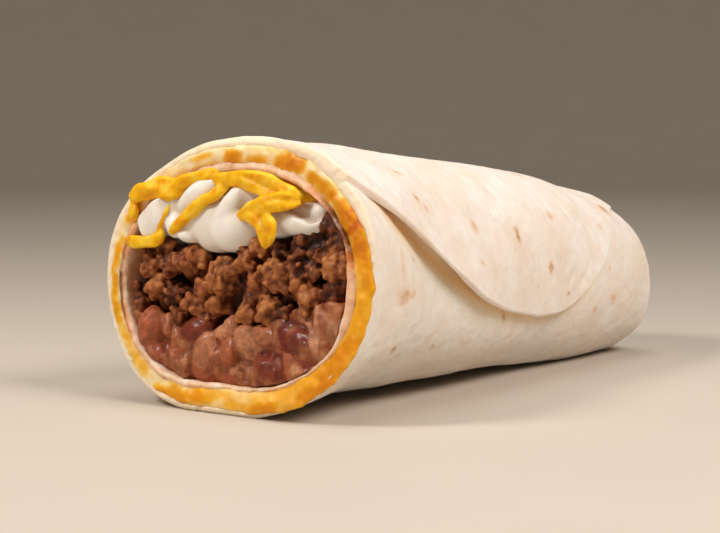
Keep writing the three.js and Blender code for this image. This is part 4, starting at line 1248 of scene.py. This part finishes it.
class Paint:
    """A material being made: its tree, its main shader and its object coordinates.

    Each step gives the socket that carries its result. Colours are hex codes, properties or
    sockets, and sizes are millimetres."""

    def __init__(self, name):
        self.material = bpy.data.materials.new(name)
        self.material.use_nodes = True
        self.tree = self.material.node_tree
        self.shader = self.tree.nodes["Principled BSDF"]
        self.place = add(self.tree, "ShaderNodeTexCoord").outputs["Object"]

    def noise(self, size, detail=2.0, roughness=0.5, place=None):
        """Cloudy noise with features of a size."""
        inputs = {"Vector": place or self.place, "Scale": per_mm(size), "Detail": detail}
        return output(self.tree, "ShaderNodeTexNoise", inputs | {"Roughness": roughness})

    def attribute(self, name):
        """A value that the mesh carries."""
        return add(self.tree, "ShaderNodeAttribute", attribute_name=name).outputs["Fac"]

    def ranged(self, value, low, high, start, end):
        """A value between low and high taken to between start and end."""
        inputs = {"Value": value, "From Min": low, "From Max": high, "To Min": start, "To Max": end}
        return output(self.tree, "ShaderNodeMapRange", inputs)

    def maths(self, operation, one, other, clamp=False):
        return output(self.tree, "ShaderNodeMath", {0: one, 1: other}, operation=operation, use_clamp=clamp)

    def ramp(self, value, *stops):
        """A colour by a value, through stops of [value, colour]."""
        stops = [(at, colour_of(colour)) for at, colour in stops]
        return output(self.tree, "ShaderNodeValToRGB", {"Fac": value}, stops)

    def mixed(self, share, under, over, blend="MIX"):
        """One colour over another by a share."""
        inputs = {0: share, 6: colour_of(under), 7: colour_of(over)}
        return add(self.tree, "ShaderNodeMix", inputs, data_type="RGBA", blend_type=blend).outputs[2]

    def bump(self, height, strength, distance, under=None):
        """Small relief by a value, on top of the relief under it."""
        inputs = {"Height": height, "Strength": strength, "Distance": distance * MM}
        return output(self.tree, "ShaderNodeBump", inputs | ({"Normal": under} if under else {}))

    def finished(self, colour, relief=None, glow=None, coat=None, **values):
        """The material, with its colour and relief, how much, how far by colour and how deep light
        glows through it, how much and how rough its wet coat is, and the shader's own values."""
        self.tree.links.new(colour, self.shader.inputs["Base Color"])
        if relief:
            self.tree.links.new(relief, self.shader.inputs["Normal"])
        if glow:
            names = "Subsurface_Weight", "Subsurface_Radius", "Subsurface_Scale"
            values |= dict(zip(names, (glow[0], glow[1], glow[2] * MM)))
        if coat:
            values |= {"Coat_Weight": coat[0], "Coat_Roughness": coat[1]}
        for name, value in values.items():
            self.shader.inputs[name.replace("_", " ")].default_value = value
        return self.material


def colour_of(source):
    """A colour from its hex code or a property; a socket stays as it is."""
    if isinstance(source, str):
        return linear(source)
    return source if isinstance(source, bpy.types.NodeSocket) else tuple(source)


def griddled_tortilla(dough, toasted):
    """Flour tortilla, pressed thin and griddled: matte pale dough that glows a little where it
    is thin, drier cream patches, and brown spots where its blisters touched the plate. Just under
    the flap's edge its colour is warmed and browned as painted shade."""
    paint = Paint("griddled_flour_tortilla")
    patched = paint.ramp(paint.noise(11, 4.0, 0.6), (0.34, "#F0E0D0"), (0.5, dough), (0.66, "#FAF2EA"))
    stretch = output(paint.tree, "ShaderNodeMapping", {"Vector": paint.place, "Scale": (1.0, 0.8, 0.8)})
    grain = paint.noise(2.0, 5.0, 0.65, stretch)
    grained = paint.mixed(paint.ranged(grain, 0.3, 0.62, 0.26, 0.0), patched, "#E2C9AE")
    # The soak layer carries the sauce's soak at the rim and the painted shade under the flap's edge.
    oil_and_shade = paint.maths("MULTIPLY", paint.attribute("soak"), 0.45, clamp=True)
    soak_and_shade = paint.mixed(oil_and_shade, grained, "#FBDCA2")
    uneven = paint.ranged(paint.noise(0.9, 4.0, 0.7), 0.3, 0.7, 0.55, 1.25)
    # The toast layer carries the griddled spots and the painted shade under the flap's edge.
    amount = paint.maths("MULTIPLY", paint.attribute("toast"), uneven)
    toast_and_seam_shade = paint.ramp(amount, (0.0, "#FFFFFF"), (0.35, "#F2DCC4"), (0.75, toasted), (1.0, "#AD7F55"))
    relief = paint.bump(grain, 0.6, 0.32, under=paint.bump(paint.noise(3.6), 0.45, 1.0))
    return paint.finished(
        paint.mixed(1.0, soak_and_shade, toast_and_seam_shade, "MULTIPLY"), relief, glow=(0.3, (1.0, 0.55, 0.32), 2.2),
        Roughness=0.62, IOR=1.45, Specular_IOR_Level=0.3, Sheen_Weight=0.08, Sheen_Roughness=0.5)


def steamed_tortilla(dough):
    """The inner tortilla: soft and damp from steam, so it is smoother and pinker than the outer
    one, and stained brown by the filling's juices where they touch it. Near the top of its cut
    edge the brown is also painted shade in the groove behind the bead, and the wall is painted
    darker and browner the further it lies behind the rim."""
    paint = Paint("steamed_flour_tortilla")
    patched = paint.ramp(paint.noise(3.2, 5.0, 0.7), (0.34, "#DDAF88"), (0.5, dough), (0.64, "#FBEBD8"))
    stain, streaks = paint.attribute("stain"), paint.noise(2.2, 3.0)
    amount = paint.maths("MULTIPLY", stain, paint.ranged(streaks, 0.35, 0.65, 0.5, 1.0))
    share = paint.maths("MULTIPLY", amount, 1.4, clamp=True)
    # Its darkest brown is juice stain and, near the top of the cut edge, painted shade.
    juice_and_shade_colour = paint.ramp(stain, (0.6, "#E8924A"), (1.0, "#6C3E22"))
    return paint.finished(
        paint.mixed(share, patched, juice_and_shade_colour), paint.bump(streaks, 0.4, 0.5), glow=(0.25, (1.0, 0.5, 0.28), 1.5),
        Roughness=0.48, IOR=1.45, Specular_IOR_Level=0.45)


def melted_cheese(pale, golden, deep_orange):
    """Cheddar sauce, melted and partly split: pale curdled patches, golden sauce, and deep
    orange where the oil has come out, all with a soft wet shine."""
    paint = Paint("melted_cheddar_sauce")
    curds = paint.noise(4.2, 3.0)
    level = paint.maths("ADD", paint.attribute("ripe"), paint.ranged(curds, 0.3, 0.7, -0.12, 0.12))
    sauce = paint.ramp(
        level, (0.02, "#FDE9C0"), (0.2, pale), (0.4, "#F8BE4C"), (0.66, golden), (1.0, "#E6960C"))
    pool = paint.ranged(paint.noise(2.4, 3.0), 0.38, 0.56, 0.45, 1.0)
    amount = paint.maths("MULTIPLY", paint.attribute("deep"), pool, clamp=True)
    return paint.finished(
        paint.mixed(amount, sauce, deep_orange), paint.bump(curds, 0.25, 0.4),
        glow=(0.3, (1.0, 0.5, 0.12), 1.6), coat=(0.04, 0.2), Roughness=0.46, IOR=1.46,
        Specular_IOR_Level=0.26)


def stewed_beans(mash, skin):
    """Pinto beans, stewed and half mashed: a moist pinkish brown paste that shines in small
    points, with the smoother red-brown skins of the whole beans in it, and its hollows darkened
    as painted shade."""
    paint = Paint("stewed_pinto_beans")
    blend = paint.noise(3.4, 5.0, 0.6)
    paste = paint.ramp(blend, (0.32, "#6F331C"), (0.48, mash), (0.62, "#B5734A"), (0.76, "#D5A27A"))
    tone = paint.attribute("tone")
    toned = paint.ramp(tone, (0.0, "#6C2012"), (0.4, skin), (0.7, "#B0643E"), (1.0, "#D09672"))
    speckled = paint.mixed(1.0, toned, paint.ranged(paint.noise(1.8, 4.0), 0.35, 0.65, 0.72, 1.2), "MULTIPLY")
    mixed = paint.mixed(paint.maths("MULTIPLY", paint.attribute("bean"), 0.9), paste, speckled)
    # Painted shade: the hollows darkened toward a deep brown.
    painted_hollow_shade = paint.ranged(paint.attribute("hollow"), -0.45, 0.1, 0.6, 0.0)
    return paint.finished(
        paint.mixed(painted_hollow_shade, mixed, "#3E1D14"), paint.bump(paint.noise(0.9, 4.0, 0.6), 0.7, 0.4),
        glow=(0.15, (1.0, 0.35, 0.2), 1.2), coat=(0.16, 0.13), Roughness=0.5, IOR=1.45,
        Specular_IOR_Level=0.3)


def browned_mince(meat, crust):
    """Ground beef, browned and seasoned: coarse crumbs, lightly greasy, with painted light and
    shade: tan where they stand out, dark brown in the hollows and creases between them, and
    darker as painted shadow the further they lie behind the rim."""
    paint = Paint("browned_ground_beef")
    crumb = add(paint.tree, "ShaderNodeTexVoronoi", {"Vector": paint.place, "Scale": per_mm(2.2)})
    # Painted light and shade: lighter where the meat stands out, darker in its hollows and creases; the
    # browned values also carry painted shade.
    shares = (
        paint.ranged(paint.attribute("hollow"), -0.9, 0.9, -0.32, 0.32),
        paint.ranged(paint.attribute("crease"), -0.16, 0.16, -0.14, 0.14),
        paint.ranged(paint.attribute("browned"), 0.2, 1.0, -0.28, 0.28),
        paint.ranged(paint.noise(1.3, 5.0, 0.65), 0.3, 0.7, -0.18, 0.18),
        paint.ranged(crumb.outputs["Color"], 0.0, 1.0, -0.08, 0.08),
    )
    level = paint.maths("ADD", shares[0], 0.56)
    for share in shares[1:]:
        level = paint.maths("ADD", level, share)
    browns = paint.ramp(
        level, (0.08, "#2A140B"), (0.28, "#472412"), (0.48, meat), (0.68, crust), (0.95, "#C28049"))
    shadow = paint.ranged(paint.attribute("depth"), 2.6, 5.4, 0.0, 0.72)
    redder = paint.ranged(paint.noise(8), 0.42, 0.62, 0.0, 0.45)
    colour = paint.mixed(redder, paint.mixed(shadow, browns, "#301910"), "#C07A60", "MULTIPLY")
    return paint.finished(
        colour, paint.bump(paint.noise(0.6, 4.0, 0.7), 0.6, 0.25), glow=(0.08, (1.0, 0.35, 0.18), 0.8),
        coat=(0.06, 0.2), Roughness=0.6, IOR=1.45, Specular_IOR_Level=0.26)


def spooned_cream(cream):
    """Sour cream, spooned on cold: thick, smooth and white, softly lit from within, with a
    satin shine, and tan in its hollows and folds as painted shade."""
    paint = Paint("spooned_sour_cream")
    toned = paint.ramp(paint.noise(6), (0.35, "#F6F0E6"), (0.6, cream))
    # Painted shade: the hollows and folds tinted tan.
    painted_fold_shade = paint.ranged(paint.attribute("hollow"), -0.9, 0.25, 0.9, 0.0)
    return paint.finished(
        paint.mixed(painted_fold_shade, toned, "#C09C74"), paint.bump(paint.noise(2.4, 3.0), 0.25, 0.3),
        glow=(0.12, (1.0, 0.75, 0.5), 1.4), Roughness=0.36, IOR=1.4, Specular_IOR_Level=0.45)


def grated_cheddar(cheddar, edge):
    """Grated cheddar, just softened by the heat: waxy yellow-orange that glows through its thin
    parts, a deeper orange painted into its hollows as shade, with a low oily shine."""
    paint = Paint("grated_cheddar")
    toned = paint.ramp(paint.noise(3.2, 3.0), (0.34, "#EFA20A"), (0.5, cheddar), (0.66, "#FDD238"))
    # Painted shade: the hollows take the deeper edge colour.
    deep = paint.ranged(paint.attribute("hollow"), -0.4, 0.15, 0.85, 0.0)
    return paint.finished(
        paint.mixed(deep, toned, edge), paint.bump(paint.noise(1.0, 3.0), 0.3, 0.25),
        glow=(0.2, (1.0, 0.8, 0.12), 1.6), coat=(0.03, 0.2), Roughness=0.46, IOR=1.46,
        Specular_IOR_Level=0.22)


def backdrop_paper(paper):
    """Matte studio paper, pale and even."""
    paint = Paint("backdrop_paper")
    fibre = paint.ranged(paint.noise(40), 0.0, 1.0, 0.97, 1.03)
    return paint.finished(paint.mixed(1.0, paper, fibre, "MULTIPLY"), Roughness=0.9, Specular_IOR_Level=0.2)


# ---- Properties ----


def colour_property(name, description, code):
    return bpy.props.FloatVectorProperty(
        name=name, description=description, subtype="COLOR", size=4, min=0, max=1, default=linear(code))


def number_property(name, description, default, **more):
    return bpy.props.FloatProperty(name=name, description=description, default=default, **more)


class BurritoWrapSettings(bpy.types.PropertyGroup):
    sheet: number_property("Sheet", "Thickness of the outer tortilla in millimetres", OUTER_WALL)
    toasting: number_property("Toasting", "How brown the griddled spots are", 1.0)
    dough: colour_property("Dough", "Colour of the outer tortilla", "#F6E8DE")
    toasted: colour_property("Toasted", "Colour of the griddled spots", "#C69A6C")
    damp: colour_property("Damp dough", "Colour of the inner tortilla", "#F3D6B8")


class BurritoCheeseSettings(bpy.types.PropertyGroup):
    bead: number_property("Bead", "How far the sauce wells out at the rim, in millimetres", 0.7)
    pale: colour_property("Pale sauce", "Colour of the curdled patches", "#FBD68E")
    golden: colour_property("Golden sauce", "Colour of the smooth sauce", "#F0AA1C")
    oil: colour_property("Oil", "Colour where the oil has come out", "#C86410")
    grain: number_property("Cell", "Cell size of the shreds' skin in millimetres", 0.3)
    shred_width: number_property(
        "Shred width", "Width of a cheddar shred", 3.0 * MM, unit="LENGTH", precision=4)
    shred_thickness: number_property(
        "Shred thickness", "Thickness of a cheddar shred", 2.0 * MM, unit="LENGTH", precision=4)
    cheddar: colour_property("Cheddar", "Colour of the shreds", "#FCC00A")
    # The colour painted into the shreds' hollows as shade.
    edge: colour_property("Cheddar edges", "Colour in the shreds' hollows", "#C87C0C")


class BurritoFillingSettings(bpy.types.PropertyGroup):
    grain: number_property("Cell", "Cell size of the filling's skins in millimetres", 0.32)
    crumb: number_property("Crumb cell", "Cell size of the beef's skin in millimetres", 0.28)
    mash: colour_property("Mash", "Colour of the mashed beans", "#9C5935")
    bean: colour_property("Bean skin", "Colour of the whole beans", "#983F22")
    # The meat and browned colours are spread by painted light and shade: the browned colour falls on the high
    # points.
    meat: colour_property("Meat", "Colour of the beef between its high points", "#6E3819")
    crust: colour_property("Browned meat", "Colour of the beef's high points", "#985A32")
    cream: colour_property("Cream", "Colour of the sour cream", "#FBF8F2")


class BurritoStageSettings(bpy.types.PropertyGroup):
    paper: colour_property("Backdrop", "Colour of the floor", "#C9BFB2")
    ceiling: number_property("Ceiling", "Strength of the wide light over the whole stage", 17.0, unit="POWER")
    key: number_property(
        "Side light", "Strength of the soft light on the side that the flap comes down", 2.25, unit="POWER")
    fill: number_property("Front light", "Strength of the light at the open end", 2.2, unit="POWER")


# ---- Operators ----


class BURRITO_OT_stage(bpy.types.Operator):
    """Makes the pale floor, the soft lights and the camera."""

    bl_idname = "burrito.stage"
    bl_label = "Stage"

    def execute(self, context):
        settings = context.scene.burrito_stage
        make_floor(settings)
        make_lights(settings)
        make_camera()
        return {"FINISHED"}


class BURRITO_OT_wrap(bpy.types.Operator):
    """Makes the outer tortilla with its flap."""

    bl_idname = "burrito.wrap"
    bl_label = "Wrap"

    def execute(self, context):
        make_wrap(context.scene.burrito_wrap)
        return {"FINISHED"}


class BURRITO_OT_inner(bpy.types.Operator):
    """Makes the inner tortilla."""

    bl_idname = "burrito.inner"
    bl_label = "Inner tortilla"

    def execute(self, context):
        make_inner(context.scene.burrito_wrap)
        return {"FINISHED"}


class BURRITO_OT_sauce(bpy.types.Operator):
    """Makes the melted cheese between the tortillas."""

    bl_idname = "burrito.sauce"
    bl_label = "Melted cheese"

    def execute(self, context):
        make_sauce(context.scene.burrito_cheese)
        return {"FINISHED"}


class BURRITO_OT_beans(bpy.types.Operator):
    """Makes the mashed beans with whole beans in them."""

    bl_idname = "burrito.beans"
    bl_label = "Beans"

    def execute(self, context):
        make_beans(context.scene.burrito_filling)
        return {"FINISHED"}


class BURRITO_OT_beef(bpy.types.Operator):
    """Makes the ground beef."""

    bl_idname = "burrito.beef"
    bl_label = "Ground beef"

    def execute(self, context):
        make_beef(context.scene.burrito_filling)
        return {"FINISHED"}


class BURRITO_OT_cream(bpy.types.Operator):
    """Makes the dollops of sour cream."""

    bl_idname = "burrito.cream"
    bl_label = "Sour cream"

    def execute(self, context):
        make_cream(context.scene.burrito_filling)
        return {"FINISHED"}


class BURRITO_OT_cheddar(bpy.types.Operator):
    """Makes the cheddar shreds."""

    bl_idname = "burrito.cheddar"
    bl_label = "Cheddar"

    def execute(self, context):
        make_cheddar(context.scene.burrito_cheese)
        return {"FINISHED"}


class BURRITO_PT_panel(bpy.types.Panel):
    """The burrito's pieces, each with its own button."""

    bl_label = "Burrito"
    bl_idname = "BURRITO_PT_panel"
    bl_space_type = "VIEW_3D"
    bl_region_type = "UI"
    bl_category = "Burrito"

    def draw(self, context):
        for group in SETTINGS:
            box = self.layout.box()
            settings = getattr(context.scene, group)
            for name in settings.__annotations__:
                box.prop(settings, name)
        for operator in OPERATORS:
            self.layout.operator(operator.bl_idname)


# ---- Stage ----

# The camera, in the frame: millimetres, and the way it looks.
CAMERA_PLACE = (-345.3, -240.9, 59.5)
CAMERA_LOOK = (0.7939, 0.6031, -0.0774)
CAMERA_LENS = 85.14
FLOOR_COLUMNS = 96
FLOOR_FLAT_RADII = (300.0, 900.0, 1500.0)
FLOOR_CURVE = 900.0
FLOOR_TURNS = np.radians(np.linspace(8, 82, 12))
WALL_RADIUS, WALL_TOP = 2600.0, 1500.0


def make_floor(settings):
    """A round floor whose rim curves up into a wall all the way round."""
    turns = ring_angles(FLOOR_COLUMNS)[0]
    profile = [(radius, 0.0) for radius in FLOOR_FLAT_RADII]
    profile += [
        (FLOOR_FLAT_RADII[-1] + FLOOR_CURVE * math.sin(turn), FLOOR_CURVE * (1 - math.cos(turn)))
        for turn in FLOOR_TURNS
    ]
    profile.append((WALL_RADIUS, WALL_TOP))
    rows = [np.stack([r * np.cos(turns), r * np.sin(turns), z + 0 * turns], -1) * MM for r, z in profile]
    index = np.arange(len(rows) * FLOOR_COLUMNS).reshape(len(rows), FLOOR_COLUMNS) + 1
    after = np.roll(index, -1, axis=1)
    faces = [(0, a, b) for a, b in zip(index[0], after[0])]
    faces += np.stack([index[:-1], index[1:], after[1:], after[:-1]], -1).reshape(-1, 4).tolist()
    mesh = bpy.data.meshes.new("floor")
    mesh.from_pydata(np.concatenate([[[0, 0, 0]], *rows]).tolist(), [], [tuple(face) for face in faces])
    mesh.materials.append(backdrop_paper(settings.paper))
    mesh.polygons.foreach_set("use_smooth", np.ones(len(mesh.polygons), bool))
    placed("floor", mesh)


def make_light(name, place, target, size, power, colour):
    data = bpy.data.lights.new(name, "AREA")
    data.shape, data.size, data.energy = "DISK", size * MM, power
    data.color = linear(colour)[:3]
    light = placed(name, data)
    light.location = Vector(place) * MM
    light.rotation_euler = ((Vector(target) - Vector(place)) * MM).to_track_quat("-Z", "Y").to_euler()


def make_lights(settings):
    over, side, front = (0.0, 0.0, 2300.0), (-40.0, -430.0, 420.0), (-410.0, 180.0, 440.0)
    make_light("ceiling", over, (0.0, 0.0, 0.0), 1600.0, settings.ceiling, "#FFFDFA")
    make_light("side_light", side, (0.0, 0.0, 25.0), 240.0, settings.key, "#FFF9F3")
    make_light("front_light", front, (-60.0, 0.0, 30.0), 170.0, settings.fill, "#FFF9F2")
    world = bpy.data.worlds.new("studio")
    world.use_nodes = True
    background = world.node_tree.nodes["Background"]
    background.inputs["Color"].default_value = linear("#E8D2B8")
    background.inputs["Strength"].default_value = 0.12
    bpy.context.scene.world = world
    bpy.context.scene.view_settings.view_transform = "Standard"


def make_camera():
    data = bpy.data.cameras.new("camera")
    data.lens, data.sensor_width = CAMERA_LENS, 36.0
    camera = placed("camera", data)
    camera.location = Vector(CAMERA_PLACE) * MM
    camera.rotation_euler = Vector(CAMERA_LOOK).to_track_quat("-Z", "Y").to_euler()
    bpy.context.scene.camera = camera


# ---- Add-on ----

SETTINGS = {
    "burrito_wrap": BurritoWrapSettings,
    "burrito_cheese": BurritoCheeseSettings,
    "burrito_filling": BurritoFillingSettings,
    "burrito_stage": BurritoStageSettings,
}
OPERATORS = (
    BURRITO_OT_stage, BURRITO_OT_wrap, BURRITO_OT_inner, BURRITO_OT_sauce,
    BURRITO_OT_beans, BURRITO_OT_beef, BURRITO_OT_cream, BURRITO_OT_cheddar,
)


def register():
    for name, settings in SETTINGS.items():
        bpy.utils.register_class(settings)
        setattr(bpy.types.Scene, name, bpy.props.PointerProperty(type=settings))
    for kind in (*OPERATORS, BURRITO_PT_panel):
        bpy.utils.register_class(kind)


def unregister():
    for kind in (BURRITO_PT_panel, *reversed(OPERATORS)):
        bpy.utils.unregister_class(kind)
    for name, settings in SETTINGS.items():
        delattr(bpy.types.Scene, name)
        bpy.utils.unregister_class(settings)


def main():
    register()
    bpy.ops.burrito.stage()
    bpy.ops.burrito.wrap()
    bpy.ops.burrito.inner()
    bpy.ops.burrito.sauce()
    bpy.ops.burrito.beans()
    bpy.ops.burrito.beef()
    bpy.ops.burrito.cream()
    bpy.ops.burrito.cheddar()


if __name__ == "__main__":
    main()
